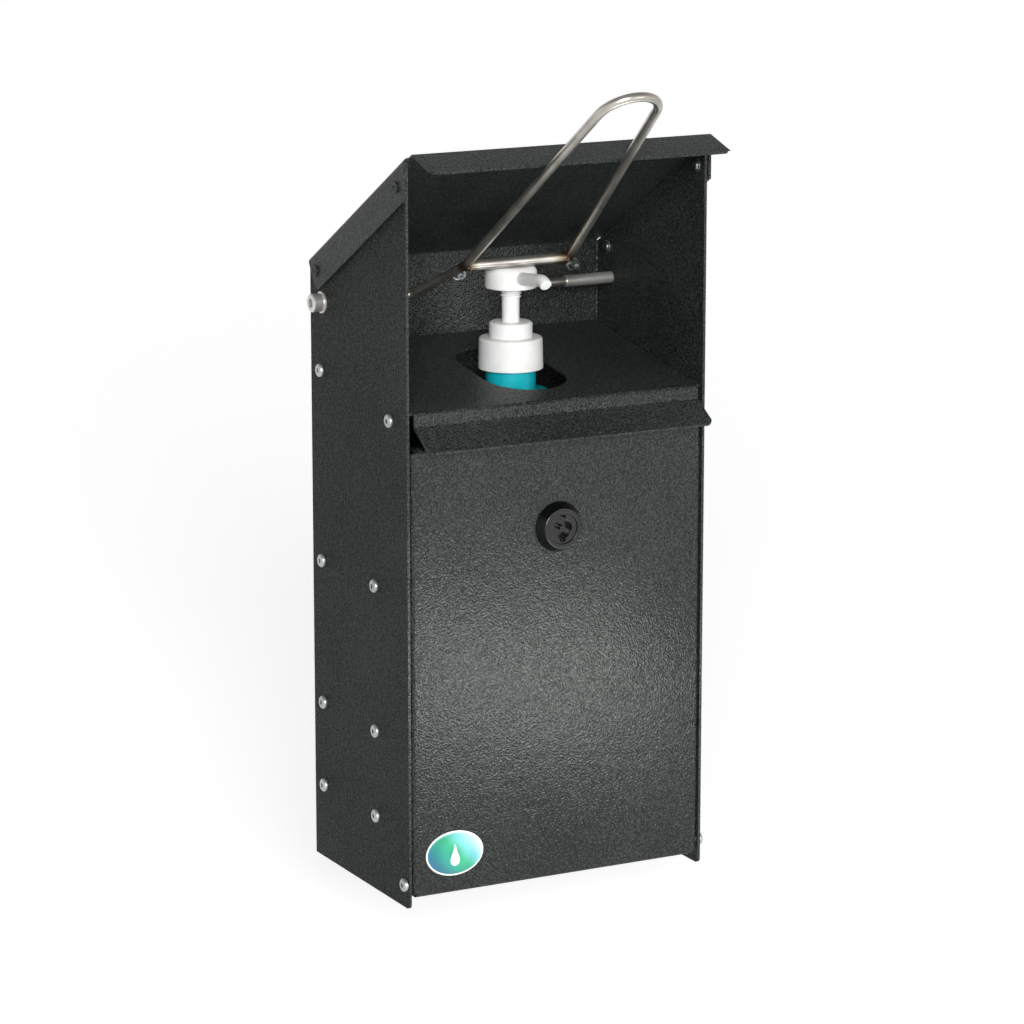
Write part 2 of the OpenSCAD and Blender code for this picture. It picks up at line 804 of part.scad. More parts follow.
module wall_screws() {
    head_y = -sheet - wall_washer_t;
    color(steel) for (i = [-1 : 1])
        translate([i * wall_pitch, head_y, wall_screw_h]) difference() {
            union() {
                translate([0, -wall_head_h, 0]) along_y(wall_head_d / 2, wall_head_h);
                along_y(wall_waist_d / 2, wall_waist_out - head_y);
                translate([0, wall_waist_out - head_y, 0])
                    along_y(wall_screw_d / 2, wall_screw_out - wall_waist_out);
            }
            translate([0, -wall_head_h - touch, 0])
                along_y(wall_head_socket / 2 / cos(30), wall_head_h / 2, hex);
        }
}

module wall_screw_washers() {
    color(steel) for (i = [-1 : 1])
        translate([i * wall_pitch, -sheet - wall_washer_t, wall_screw_h]) difference() {
            along_y(wall_washer_d / 2, wall_washer_t);
            translate([0, -cut, 0])
                along_y(wall_screw_d / 2 + wall_hole_play, wall_washer_t + 2 * cut);
        }
}

// Lever carriers: a sleeve each side, held by a cap screw and a washer from outside
module pivot_sleeves() {
    color(steel) both_sides() on_side([pivot_in, pivot_h], inner_x - sleeve_len)
        difference() {
            along_x(sleeve_d / 2, sleeve_len, fine);
            translate([-cut, 0, 0]) along_x(sleeve_bore_r, sleeve_len + 2 * cut, fine);
            translate([sleeve_len - sleeve_tap_len, 0, 0])
                along_x(sleeve_tap_d / 2 + screw_play, sleeve_tap_len + cut, fine);
        }
}

module pivot_washers() {
    color(steel) both_sides() on_side([pivot_in, pivot_h], half_w) difference() {
        along_x(pivot_washer_d / 2, pivot_washer_t, fine);
        translate([-cut, 0, 0])
            along_x(sleeve_tap_d / 2 + hole_play, pivot_washer_t + 2 * cut);
    }
}

pivot_socket_af = 5;
pivot_socket_deep = 3;
pivot_shank_short = 2;
head_chamfer = 0.6;

module pivot_screws() {
    shank = pivot_washer_t + sheet + sleeve_tap_len - pivot_shank_short;
    color(steel) both_sides() on_side([pivot_in, pivot_h], half_w + pivot_washer_t)
        difference() {
            union() {
                translate([-shank, 0, 0]) along_x(sleeve_tap_d / 2, shank + touch);
                along_x(pivot_head_d / 2, pivot_head_h - head_chamfer, fine);
                translate([pivot_head_h - head_chamfer, 0, 0]) rotate([0, 90, 0])
                    cylinder(r1 = pivot_head_d / 2, r2 = pivot_head_d / 2 - head_chamfer,
                        h = head_chamfer, $fn = fine);
            }
            translate([pivot_head_h - pivot_socket_deep, 0, 0])
                along_x(pivot_socket_af / 2 / cos(30), pivot_socket_deep + cut, hex);
        }
}

// Lever. A plane through the pivots, or through the bar, with +Y up along the lever
module lever_plane(v, z, rise) {
    translate([0, behind(v), z]) rotate([180 - rise, 0, 0]) children();
}

// A straight stretch of rod between two points of such a plane, joined to the bends at
// its ends by thin rings, so that no two ends lie exactly in one plane
module rod_between(a, b, free = false) {
    d = b - a;
    translate([a[0], a[1], 0]) rotate([0, 0, atan2(d[1], d[0])]) {
        translate([joint_gap, 0, 0])
            along_x(rod_r, norm(d) - (free ? 1 : 2) * joint_gap, fine);
        joint_ring(rod_r);
        if (!free) translate([norm(d), 0, 0]) joint_ring(rod_r);
    }
}

// An arc of rod in such a plane
module rod_arc(centre, r, from, turn) {
    translate([centre[0], centre[1], 0]) rotate([0, 0, from])
        rotate_extrude(angle = turn, $fn = fine) translate([r, 0]) circle(r = rod_r, $fn = fine);
}

// The end loop's tangent point, in the plane through the bar
loop_far = norm([bar_spread, lever_len]);
loop_aim = atan2(-lever_len, bar_spread) + acos(loop_r / loop_far);
loop_turn = 2 * (90 - loop_aim);
loop_start = [loop_r * cos(loop_aim), lever_len + loop_r * sin(loop_aim)];

// The legs' directions below and above the bend at the bar
lower_leg = [bar_spread - leg_spread, -arm_len * cos(arm_rise), arm_len * sin(arm_rise)];
upper_leg = [loop_start[0] - bar_spread, -loop_start[1] * cos(lever_rise),
    loop_start[1] * sin(lever_rise)];
lower_dir = lower_leg / norm(lower_leg);
upper_dir = upper_leg / norm(upper_leg);
knee_turn = acos(lower_dir * upper_dir);
knee_back = setback(knee_turn, knee_r);
knee_side = (upper_dir - lower_dir * cos(knee_turn)) / sin(knee_turn);

// A bend of rod that leaves the lower leg and joins the upper one
module knee() {
    at = [bar_spread, behind(bar_in), bar_z] - knee_back * lower_dir + knee_r * knee_side;
    x = -knee_side;
    y = lower_dir;
    z = cross(x, y);
    multmatrix([
        [x[0], y[0], z[0], at[0]],
        [x[1], y[1], z[1], at[1]],
        [x[2], y[2], z[2], at[2]]
    ]) rotate_extrude(angle = knee_turn, $fn = fine)
        translate([knee_r, 0]) circle(r = rod_r, $fn = fine);
}

module lever_rod() {
    leg_lean = atan2(leg_spread - bar_spread, arm_len);
    pin_turn = 90 - leg_lean;
    pin_back = setback(pin_turn, pin_bend_r);
    pin_end = inner_x - sleeve_len + pin_depth;
    corner = [leg_spread, 0];
    bar_end = [bar_spread, arm_len];
    leg_dir = (bar_end - corner) / norm(bar_end - corner);
    loop_dir = (loop_start - [bar_spread, 0]) / norm(loop_start - [bar_spread, 0]);
    color(steel) {
        both_sides() {
            lever_plane(pivot_in, pivot_h, arm_rise) {
                rod_between([corner[0] + pin_back, 0], [pin_end, 0], true);
                rod_arc([corner[0] + pin_back, pin_bend_r], pin_bend_r, -90, -pin_turn);
                rod_between(corner + pin_back * leg_dir, bar_end - knee_back * leg_dir);
            }
            knee();
            lever_plane(bar_in, bar_z, lever_rise)
                rod_between([bar_spread, 0] + knee_back * loop_dir, loop_start);
        }
        lever_plane(bar_in, bar_z, lever_rise)
            rod_arc([0, lever_len], loop_r, loop_aim, loop_turn);
    }
}

module lever_cross_bar() {
    color(steel) translate([-bar_spread, behind(bar_in), bar_z])
        along_x(bar_d / 2, 2 * bar_spread, fine);
}

// Door: a shallow pan, open at the back, that drops forward about its foot
module door_panel() {
    pan_h = door_top_h - door_notch - door_foot - door_notch_foot;
    color(powder) difference() {
        union() {
            translate([0, behind(0), door_foot + door_notch_foot])
                rotate([90, 0, 0]) channel(door_half, door_flange, pan_h);
            translate([0, behind(0), 0]) side_profile(2 * door_strip_half)
                translate([-door_foot_flange, door_foot]) mirror([0, 1]) translate([0, -sheet])
                bent([door_foot_flange - bend_out, door_top_h - door_foot - 2 * bend_out,
                    door_top_flange - bend_out], [-90, -90]);
        }
        translate([0, behind(-cut), lock_h])
            along_y(lock_barrel_d / 2 + hole_play, sheet + 2 * cut, fine);
        on_side([door_pivot_in, door_pivot_h], -half_w)
            along_x(door_neck_d / 2 + screw_play, cabinet_w);
    }
}

// Shouldered pins turn in the side panels and are riveted into the door's flanges
door_head_gap = 0.3;
door_neck_d = 2.6;
door_tail_d = 3.4;
door_tail_t = 0.8;

module door_pivot_pins() {
    shoulder = door_head_gap + sheet + door_gap;
    neck = sheet + door_tail_t;
    color(steel) both_sides()
        on_side([door_pivot_in, door_pivot_h], half_w + door_head_gap) {
            button_screw(side_screw_d, shoulder);
            translate([-shoulder - neck, 0, 0]) along_x(door_neck_d / 2, neck + touch);
            translate([-shoulder - neck, 0, 0]) along_x(door_tail_d / 2, door_tail_t);
        }
}

// A plain oval badge at the door's lower left
badge_w = 34.4;
badge_h = 24.9;
badge_t = 0.8;
badge_left = 27.2;
badge_up = 28;
badge_points = 72;

module info_badge() {
    color(teal) translate([-half_w + badge_left, behind(0), badge_up]) rotate([90, 0, 0])
        linear_extrude(badge_t) polygon([for (i = [0 : badge_points - 1])
            [badge_w / 2 * cos(i * 360 / badge_points),
             badge_h / 2 * sin(i * 360 / badge_points)]]);
}

// Lock, along +Y from the door's front face
module lock_axis() {
    translate([0, behind(0), lock_h]) rotate([-90, 0, 0]) children();
}

module lock_housing() {
    color(black_pa) lock_axis() difference() {
        union() {
            translate([0, 0, -lock_proud]) cylinder(r1 = lock_face_d / 2,
                r2 = lock_bezel_d / 2, h = lock_proud, $fn = fine);
            cylinder(r = lock_barrel_d / 2, h = lock_barrel_back, $fn = fine);
        }
        translate([0, 0, -lock_proud - cut])
            cylinder(r = lock_plug_d / 2 + run_gap, h = lock_proud + lock_barrel_back + 2 * cut,
                $fn = fine);
    }
}

module lock_nut() {
    color(black_pa) lock_axis() translate([0, 0, sheet]) difference() {
        cylinder(r = lock_nut_af / 2 / cos(30), h = lock_nut_t, $fn = hex);
        translate([0, 0, -cut]) cylinder(r = lock_barrel_d / 2 + screw_play,
            h = lock_nut_t + 2 * cut, $fn = fine);
    }
}

module lock_plug() {
    face = -lock_proud + plug_recess;
    color(black_pa) lock_axis() difference() {
        union() {
            translate([0, 0, face])
                cylinder(r = lock_plug_d / 2, h = lock_barrel_back + cam_gap - face, $fn = fine);
            translate([-cam_square / 2, -cam_square / 2, lock_barrel_back + cam_gap - touch])
                cube([cam_square, cam_square, cam_t + touch]);
        }
        difference() {
            translate([0, 0, face - cut]) union() {
                cylinder(r = lock_recess_d / 2, h = lock_key_depth + cut, $fn = fine);
                translate([-lock_slot_w / 2, -lock_slot_reach, 0])
                    cube([lock_slot_w, 2 * lock_slot_reach, lock_key_depth + cut]);
            }
            translate([0, 0, face - 2 * cut])
                cylinder(r = lock_pin_d / 2, h = lock_key_depth + 3 * cut, $fn = round);
        }
        cylinder(r = cam_screw_d / 2 + screw_play, h = 3 * lock_barrel_back, $fn = round);
    }
}

// The cam lies to the right when the door is free, and turns up behind the keeper
module lock_cam() {
    color(zinc) lock_axis() translate([0, 0, cam_front]) linear_extrude(cam_t) difference() {
        union() {
            circle(r = cam_w / 2, $fn = fine);
            translate([0, -cam_w / 2]) square([cam_len - cam_w / 2, cam_w]);
            translate([cam_len - cam_w / 2, 0]) circle(r = cam_w / 2, $fn = fine);
        }
        square(cam_square + 2 * screw_play, center = true);
    }
}

module cam_screw() {
    color(zinc) lock_axis() translate([0, 0, cam_front + cam_t]) difference() {
        union() {
            cylinder(r = cam_head_d / 2, h = cam_head_t, $fn = fine);
            translate([0, 0, -lock_barrel_back]) cylinder(r = cam_screw_d / 2,
                h = lock_barrel_back + touch, $fn = round);
        }
        translate([0, 0, cam_head_t / 2])
            cylinder(r = cam_screw_d / 2, h = cam_head_t, $fn = hex);
    }
}

// Bottle and pump, about the pump's axis
module pump_axis(z = 0) {
    translate([0, behind(pump_in), z]) children();
}

module rounded_box(w, d, r, h) {
    linear_extrude(h) {
        square([w - 2 * r, d], center = true);
        square([w, d - 2 * r], center = true);
        for (x = [-1, 1], y = [-1, 1])
            translate([x * (w / 2 - r), y * (d / 2 - r)]) circle(r = r, $fn = round);
    }
}

// The bottle's shoulder rises through a middle section, given as shares of the body
shoulder_foot_z = ledge_z - shoulder_h;
shoulder_mid_share = 0.62;
shoulder_w_share = 0.72;
shoulder_d_share = 0.8;
shoulder_r_share = 0.9;
slice = 0.5;

module bottle_outline(inset) {
    w = bottle_w - 2 * inset;
    d = bottle_d - 2 * inset;
    r = bottle_r - inset;
    foot = tray_top_z + (inset > 0 ? base_wall : 0);
    pump_axis(foot) rounded_box(w, d, r, shoulder_foot_z - foot + slice);
    pump_axis() hull() {
        translate([0, 0, shoulder_foot_z]) rounded_box(w, d, r, slice);
        translate([0, 0, shoulder_foot_z + shoulder_h * shoulder_mid_share])
            rounded_box(w * shoulder_w_share, d * shoulder_d_share, r * shoulder_r_share, slice);
        translate([0, 0, ledge_z - slice - inset])
            cylinder(r = ledge_d / 2 - inset, h = slice, $fn = round);
    }
    pump_axis(ledge_z - slice - inset)
        cylinder(r = neck_d / 2 - inset, h = neck_top_z - ledge_z + slice + inset
            + (inset > 0 ? cut : 0), $fn = fine);
}

module bottle() {
    color(teal) difference() {
        union() {
            bottle_outline(0);
            pump_axis(ledge_z - ledge_t) cylinder(r = ledge_d / 2, h = ledge_t, $fn = fine);
        }
        bottle_outline(bottle_wall);
    }
}

module neck_gasket() {
    color(white_pp) pump_axis(neck_top_z) difference() {
        cylinder(r = neck_d / 2 - touch, h = gasket_t, $fn = fine);
        translate([0, 0, -cut])
            cylinder(r = chamber_d / 2 + touch, h = gasket_t + 2 * cut, $fn = fine);
    }
}

closure_taper = 0.6;
closure_edge = 1.2;
skirt_play = 0.3;

module pump_closure() {
    color(white_pp) pump_axis(closure_foot_z) difference() {
        union() {
            cylinder(r1 = closure_d / 2, r2 = closure_d / 2 - closure_taper,
                h = closure_h - closure_edge, $fn = fine);
            translate([0, 0, closure_h - closure_edge])
                cylinder(r1 = closure_d / 2 - closure_taper,
                    r2 = closure_d / 2 - closure_taper - closure_edge, h = closure_edge, $fn = fine);
        }
        translate([0, 0, -cut]) cylinder(r = neck_d / 2 + skirt_play,
            h = closure_h - closure_wall + cut, $fn = fine);
        cylinder(r = chamber_d / 2 + touch, h = closure_h + cut, $fn = fine);
    }
}

collar_edge = 1;
collar_seat = 2.8;

module pump_collar() {
    color(white_pp) pump_axis(closure_top_z) difference() {
        rotate_extrude($fn = fine) polygon([
            [0, 0], [collar_d / 2, 0], [collar_d / 2, collar_h - collar_edge],
            [collar_d / 2 - collar_edge, collar_h], [0, collar_h]
        ]);
        translate([0, 0, -cut]) cylinder(r = stem_d / 2 + run_gap,
            h = collar_h + 2 * cut, $fn = fine);
        translate([0, 0, -cut]) cylinder(r = chamber_d / 2 + touch,
            h = cut + collar_seat, $fn = fine);
    }
}

// The chamber hangs from the closure into the bottle and ends in a spigot for the tube
chamber_cone_h = 9;
inlet_d = 2.6;
ball_play = 0.3;
tube_stop = 1;

module pump_chamber() {
    top = closure_top_z + collar_seat - touch - chamber_foot_z;
    color(white_pp) pump_axis(chamber_foot_z) difference() {
        rotate_extrude($fn = fine) polygon([
            [0, 0], [spigot_d / 2, 0], [spigot_d / 2, spigot_len],
            [chamber_d / 2, chamber_cone_h], [chamber_d / 2, top], [0, top]
        ]);
        translate([0, 0, -cut])
            cylinder(r = tube_d / 2 + touch, h = spigot_len - tube_stop + cut, $fn = round);
        cylinder(r = inlet_d / 2, h = top, $fn = round);
        translate([0, 0, spigot_len + tube_stop])
            cylinder(r = ball_d / 2 + ball_play, h = top, $fn = round);
        translate([0, 0, chamber_cone_h + chamber_wall])
            cylinder(r = chamber_bore / 2, h = top, $fn = fine);
    }
}

module inlet_ball() {
    color(steel) pump_axis(chamber_foot_z + spigot_len + tube_stop + ball_d / 2)
        sphere(r = ball_d / 2, $fn = round);
}

module dip_tube() {
    color(white_pp) pump_axis(chamber_foot_z + spigot_len - tube_stop - tube_len) difference() {
        cylinder(r = tube_d / 2, h = tube_len, $fn = round);
        translate([0, 0, -cut])
            cylinder(r = tube_d / 2 - tube_wall, h = tube_len + 2 * cut, $fn = round);
    }
}

// Return spring in the chamber: a round wire swept along a helix
spring_sides = 6;
spring_steps = 16;
spring_side_play = 0.5;
spring_r = chamber_bore / 2 - spring_wire / 2 - spring_side_play;

function spring_point(i, n) = let (
    a = 360 * spring_coils * i / n,
    rise = spring_top_z - spring_foot_z - spring_wire)
    [spring_r * cos(a), spring_r * sin(a), spring_wire / 2 + rise * i / n];

function spring_ring(i, n) = let (
    p = spring_point(i, n),
    a = 360 * spring_coils * i / n,
    out = [cos(a), sin(a), 0])
    [for (k = [0 : spring_sides - 1])
        p + spring_wire / 2 * (out * cos(k * 360 / spring_sides)
            + [0, 0, 1] * sin(k * 360 / spring_sides))];

module wound_wire(n) {
    rings = [for (i = [0 : n]) each spring_ring(i, n)];
    sides = spring_sides;
    last = n * sides;
    walls = [for (i = [0 : n - 1], k = [0 : sides - 1]) let (
        a = i * sides + k,
        b = i * sides + (k + 1) % sides)
        each [[a, a + sides, b], [b, a + sides, b + sides]]];
    start = [for (k = [1 : sides - 2]) [0, k, k + 1]];
    end = [for (k = [1 : sides - 2]) [last, last + k + 1, last + k]];
    polyhedron(rings, concat(walls, start, end));
}

module pump_spring() {
    color(steel) pump_axis(spring_foot_z) wound_wire(spring_coils * spring_steps);
}

// Piston and stem move together with the head
module pump_piston() {
    color(white_pp) pump_axis(stem_foot_z - piston_h) difference() {
        cylinder(r = piston_d / 2, h = piston_h, $fn = fine);
        translate([0, 0, -cut]) cylinder(r = stem_bore / 2,
            h = piston_h + 2 * cut, $fn = round);
    }
}

stem_tip_d = 7;
stem_tip = 2.6;
thread_rib = 1;
thread_pitch = 2.2;

module pump_stem() {
    tip_z = head_foot_z;
    color(white_pp) pump_axis() difference() {
        union() {
            translate([0, 0, stem_foot_z])
                cylinder(r = stem_d / 2, h = thread_foot_z - stem_foot_z, $fn = fine);
            translate([0, 0, thread_foot_z]) cylinder(r = stem_thread_d / 2 - thread_rib,
                h = head_foot_z - thread_foot_z - swivel_gap, $fn = fine);
            for (i = [0, 1])
                translate([0, 0, thread_foot_z + i * thread_pitch]) {
                    cylinder(r1 = stem_thread_d / 2 - thread_rib, r2 = stem_thread_d / 2,
                        h = thread_rib, $fn = fine);
                    translate([0, 0, thread_rib]) cylinder(r1 = stem_thread_d / 2,
                        r2 = stem_thread_d / 2 - thread_rib, h = thread_rib, $fn = fine);
                }
            translate([0, 0, head_foot_z - swivel_gap - touch])
                cylinder(r = stem_tip_d / 2, h = stem_tip, $fn = fine);
        }
        translate([0, 0, stem_foot_z - cut])
            cylinder(r = stem_bore / 2, h = tip_z + stem_tip, $fn = round);
    }
}

swivel_gap = 0.3;
head_edge = 0.8;
crown_edge_w = 3.4;
crown_edge_h = 3.6;
nozzle_bore = 3;

// Nozzle: it leaves the head rising a little and turns down at its mouth
nozzle_root_h = 4.9;
nozzle_rise = 6.4;
nozzle_tip_turn = 45;
nozzle_tip_r = 8;
nozzle_mouth = 0.8;
nozzle_drift = nozzle_tip_r * (sin(nozzle_rise) + sin(nozzle_tip_turn - nozzle_rise))
    + nozzle_mouth * cos(nozzle_tip_turn - nozzle_rise);
nozzle_run = (nozzle_reach - nozzle_drift) / cos(nozzle_rise);

module pump_head() {
    lip = head_d / 2;
    crown_z = head_h + crown_up;
    color(white_pp) pump_axis(head_foot_z) difference() {
        union() {
            rotate_extrude($fn = fine) polygon(concat(
                [[0, 0], [lip - head_edge, 0], [lip, head_edge]],
                [for (i = [0 : dome_steps]) let (a = 90 * i / dome_steps)
                    [lip - crown_edge_w * (1 - cos(a)), crown_z - crown_edge_h * (1 - sin(a))]],
                [[0, crown_z]]));
            nozzle(nozzle_d / 2, 0);
        }
        nozzle(nozzle_bore / 2, cut);
        translate([0, 0, -cut]) cylinder(r = stem_tip_d / 2 + run_gap,
            h = stem_tip + swivel_gap + cut, $fn = fine);
        cylinder(r = stem_bore / 2, h = nozzle_root_h, $fn = round);
    }
}

module nozzle(r, over) {
    translate([0, 0, nozzle_root_h]) rotate([180 - nozzle_rise, 0, 0]) rotate([90, 0, 90])
        pipe(r, [nozzle_run, nozzle_mouth + over], [nozzle_tip_turn], [nozzle_tip_r]);
}

body_shell();
floor_pan();
hood();
shelf();
latch_keeper();
bottle_tray();
side_screws();
shelf_nuts();
tray_nuts();
spare_hole_nuts();
hood_screws();
hood_screw_washers();
hood_press_nuts();
wall_screws();
wall_screw_washers();
pivot_sleeves();
pivot_screws();
pivot_washers();
lever_rod();
lever_cross_bar();
door_panel();
door_pivot_pins();
info_badge();
lock_housing();
lock_nut();
lock_plug();
lock_cam();
cam_screw();
bottle();
neck_gasket();
pump_closure();
pump_collar();
pump_chamber();
inlet_ball();
dip_tube();
pump_spring();
pump_piston();
pump_stem();
pump_head();
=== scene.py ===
import json
import math

import bmesh
import bpy
import numpy as np
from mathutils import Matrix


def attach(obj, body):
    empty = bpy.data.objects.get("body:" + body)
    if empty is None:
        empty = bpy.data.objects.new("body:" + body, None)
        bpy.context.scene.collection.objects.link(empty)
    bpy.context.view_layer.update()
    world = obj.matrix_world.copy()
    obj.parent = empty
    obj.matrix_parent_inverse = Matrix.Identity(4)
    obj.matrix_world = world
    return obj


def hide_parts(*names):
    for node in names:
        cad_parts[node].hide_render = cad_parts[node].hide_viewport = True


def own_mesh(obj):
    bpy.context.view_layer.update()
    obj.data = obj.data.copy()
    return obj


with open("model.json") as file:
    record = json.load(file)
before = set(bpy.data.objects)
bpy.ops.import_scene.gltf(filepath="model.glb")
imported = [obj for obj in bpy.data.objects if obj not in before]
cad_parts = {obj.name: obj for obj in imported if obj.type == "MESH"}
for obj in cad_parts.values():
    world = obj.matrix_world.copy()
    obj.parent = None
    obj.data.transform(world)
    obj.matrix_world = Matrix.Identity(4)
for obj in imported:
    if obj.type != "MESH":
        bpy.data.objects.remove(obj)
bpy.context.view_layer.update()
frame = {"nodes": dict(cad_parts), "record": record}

# All lengths below are in millimetres and are turned to metres when a mesh is made.
# The row frame: origin on the wall plane, at the middle of the width and the cabinet's foot,
# +X to the right, +Y into the wall, +Z up.
MM = 0.001
PUMP = (0.0, -65.0)          # the pump's axis, x and y
BAR = (-72.8, 338.32)        # the pressing bar's axis, y and z
PIVOT = (-17.5, 314.7)       # the lever's pivots, y and z
RISE = math.radians(37.88)   # the lever above level, from the bar to its loop
ROD_R, BAR_R = 2.5, 3.0      # radii of the lever's wire and of its pressing bar
BADGE = (-62.8, -120.0, 28.0)  # the badge's middle on the door's front
FLOOR_Z = -0.045             # in metres, below the open door's reach

body_of = {node: body for body, nodes in frame["record"]["behaviour"]["bodies"].items() for node in nodes}
slot_of = {s["node"]: s["material_slot"] for s in frame["record"]["subparts"]}


# Colour and nodes

def paint(code):
    """An sRGB hex value as linear red, green, blue and alpha: each channel is divided by 12.92
    near black, and otherwise raised to 2.4 after the sRGB offset."""
    channels = np.array([int(code[i:i + 2], 16) for i in (1, 3, 5)]) / 255.0
    linear = np.where(channels <= 0.04045, channels / 12.92, ((channels + 0.055) / 1.055) ** 2.4)
    return (*linear.tolist(), 1.0)


def add(tree, kind, links=None, **settings):
    """A node of that kind. A setting whose name is a property is set on the node, links go from
    an input's name or number to a value or to another node's output."""
    node = tree.nodes.new(kind)
    for key, value in settings.items():
        setattr(node, key, value)
    for key, value in (links or {}).items():
        socket = node.inputs[key]
        if isinstance(value, bpy.types.NodeSocket):
            tree.links.new(value, socket)
        else:
            socket.default_value = value
    return node


def finish(name, **principled):
    """A new material and its Principled shader, with the values given for its sockets."""
    mat = bpy.data.materials.new(name)
    mat.use_nodes = True
    tree = mat.node_tree
    shader = tree.nodes["Principled BSDF"]
    for key, value in principled.items():
        shader.inputs[key.replace("_", " ")].default_value = value
    return mat, tree, shader


def ramp(tree, factor, stops, mode="LINEAR"):
    """A colour ramp through (position, hex) stops."""
    node = add(tree, "ShaderNodeValToRGB", {0: factor})
    band = node.color_ramp
    band.interpolation = mode
    band.elements[0].position, band.elements[0].color = stops[0][0], paint(stops[0][1])
    band.elements[1].position, band.elements[1].color = stops[-1][0], paint(stops[-1][1])
    for position, code in stops[1:-1]:
        band.elements.new(position).color = paint(code)
    return node.outputs["Color"]


def powder_coat(name, valley_tone_and_shade, middle, crest_tone_and_highlight, gloss, graze):
    """Hammered powder coat on steel sheet: rounded pebbles and short ridges about 1 mm across over a faint
    orange peel, under a clear resin that fills most of their hollows and whose gloss falls off at grazing
    angles, from gloss to graze. The colour is darker in the pebbles' hollows and lighter on their crests. That
    is partly the coat's own flecks and partly painted shade and painted highlight, so that the grain looks
    embossed also in shade. It gives the eye a dark grey-green that breaks every highlight into grain."""
    mat, tree, shader = finish(name, Roughness=0.42, Specular_IOR_Level=0.03, IOR=1.5,
                               Coat_Roughness=0.14, Coat_IOR=1.5)
    # Turned, so that no sheet lies along the noise's own lattice
    flat = add(tree, "ShaderNodeTexCoord").outputs["Object"]
    where = add(tree, "ShaderNodeMapping", {"Vector": flat, "Rotation": (0.61, 0.43, 0.87)}).outputs[0]
    # The pebbles' outlines wander by up to 0.3 mm either way
    bent = add(tree, "ShaderNodeTexNoise", {"Vector": where, "Scale": 600.0, "Detail": 1.0})
    shift = add(tree, "ShaderNodeVectorMath", {0: bent.outputs["Color"], 1: (0.6 * MM,) * 3},
                operation="MULTIPLY")
    moved = add(tree, "ShaderNodeVectorMath", {0: where, 1: shift.outputs[0]}, operation="ADD").outputs[0]
    pebble = add(tree, "ShaderNodeTexNoise", {"Vector": moved, "Scale": 1050.0, "Detail": 0.5,
                                              "Roughness": 0.4}).outputs["Fac"]
    # Orange peel 5 to 6 mm across, and clouds of the coat's thickness a decimetre wide
    peel = add(tree, "ShaderNodeTexNoise", {"Vector": where, "Scale": 180.0, "Detail": 1.0}).outputs["Fac"]
    cloud = add(tree, "ShaderNodeTexNoise", {"Vector": where, "Scale": 9.0, "Detail": 3.0}).outputs["Fac"]
    # Painted shade and painted highlight: the colour follows the pebbles, darker in their hollows and lighter on
    # their crests, over clouds of the coat's own tone
    cloud_tone_and_relief_shade = add(tree, "ShaderNodeMath", {0: cloud, 1: 0.35, 2: pebble}, operation="MULTIPLY_ADD").outputs[0]
    colour = ramp(tree, cloud_tone_and_relief_shade, [(0.5, valley_tone_and_shade), (0.67, middle), (0.84, crest_tone_and_highlight)])
    tree.links.new(colour, shader.inputs["Base Color"])
    height = add(tree, "ShaderNodeMath", {0: peel, 1: 0.6, 2: pebble}, operation="MULTIPLY_ADD").outputs[0]
    for socket, depth in (("Normal", 0.0015), ("Coat Normal", 0.00028)):
        bump = add(tree, "ShaderNodeBump", {"Height": height, "Strength": 1.0, "Distance": depth})
        tree.links.new(bump.outputs[0], shader.inputs[socket])
    facing = add(tree, "ShaderNodeLayerWeight", {"Blend": 0.5}).outputs["Facing"]
    level = add(tree, "ShaderNodeMapRange", {"Value": facing, "From Min": 0.18, "From Max": 0.5,
                                             "To Min": gloss, "To Max": graze})
    tree.links.new(level.outputs[0], shader.inputs["Coat Weight"])
    return mat


def stainless(name, light, dark, grain_mm, rough, metal=1.0, along=None, tint=None):
    """Drawn or turned stainless steel: grey with a slight warm cast, fine drawing lines and soft
    cloudy patches of rolling oil, so that highlights smear a little. A satin film on it, the part
    that metal leaves out, keeps it light where it faces dark things. The lines follow the
    attribute along where the piece has one. tint lists weld points in millimetres: the steel
    there is straw and brown from the heat."""
    mat, tree, shader = finish(name, Metallic=metal, Roughness=rough)
    where = add(tree, "ShaderNodeTexCoord").outputs["Object"]
    flow = add(tree, "ShaderNodeAttribute", attribute_name=along).outputs["Vector"] if along else where
    lines = add(tree, "ShaderNodeTexNoise", {"Vector": flow, "Scale": 1.0 / (grain_mm * MM), "Detail": 3.0,
                                             "Roughness": 0.6}).outputs["Fac"]
    patch = add(tree, "ShaderNodeTexNoise", {"Vector": where, "Scale": 70.0, "Detail": 2.0}).outputs["Fac"]
    both = add(tree, "ShaderNodeMath", {0: lines, 1: patch}, operation="ADD").outputs[0]
    colour = ramp(tree, add(tree, "ShaderNodeMath", {0: both, 1: 0.5}, operation="MULTIPLY").outputs[0],
                  [(0.36, dark), (0.62, light)])
    for point, reach in tint or ():
        away = add(tree, "ShaderNodeVectorMath", {0: where, 1: tuple(v * MM for v in point)},
                   operation="DISTANCE")
        near = add(tree, "ShaderNodeMapRange", {"Value": away.outputs["Value"], "From Min": 2.2 * MM,
                                                "From Max": reach * MM}).outputs[0]
        heat = ramp(tree, near, [(0.0, "#66564c"), (0.25, "#948270"), (0.5, "#cbbfac"),
                                 (0.75, "#e8e3d9"), (1.0, "#ffffff")])
        colour = mixed(tree, colour, heat)
    tree.links.new(colour, shader.inputs["Base Color"])
    bump = add(tree, "ShaderNodeBump", {"Height": lines, "Strength": 0.25, "Distance": 0.00002})
    tree.links.new(bump.outputs[0], shader.inputs["Normal"])
    return mat


def mixed(tree, first, second):
    """The product of two colours."""
    node = add(tree, "ShaderNodeMix", data_type="RGBA", blend_type="MULTIPLY")
    node.inputs[0].default_value = 1.0
    tree.links.new(first, node.inputs[6])
    tree.links.new(second, node.inputs[7])
    return node.outputs[2]


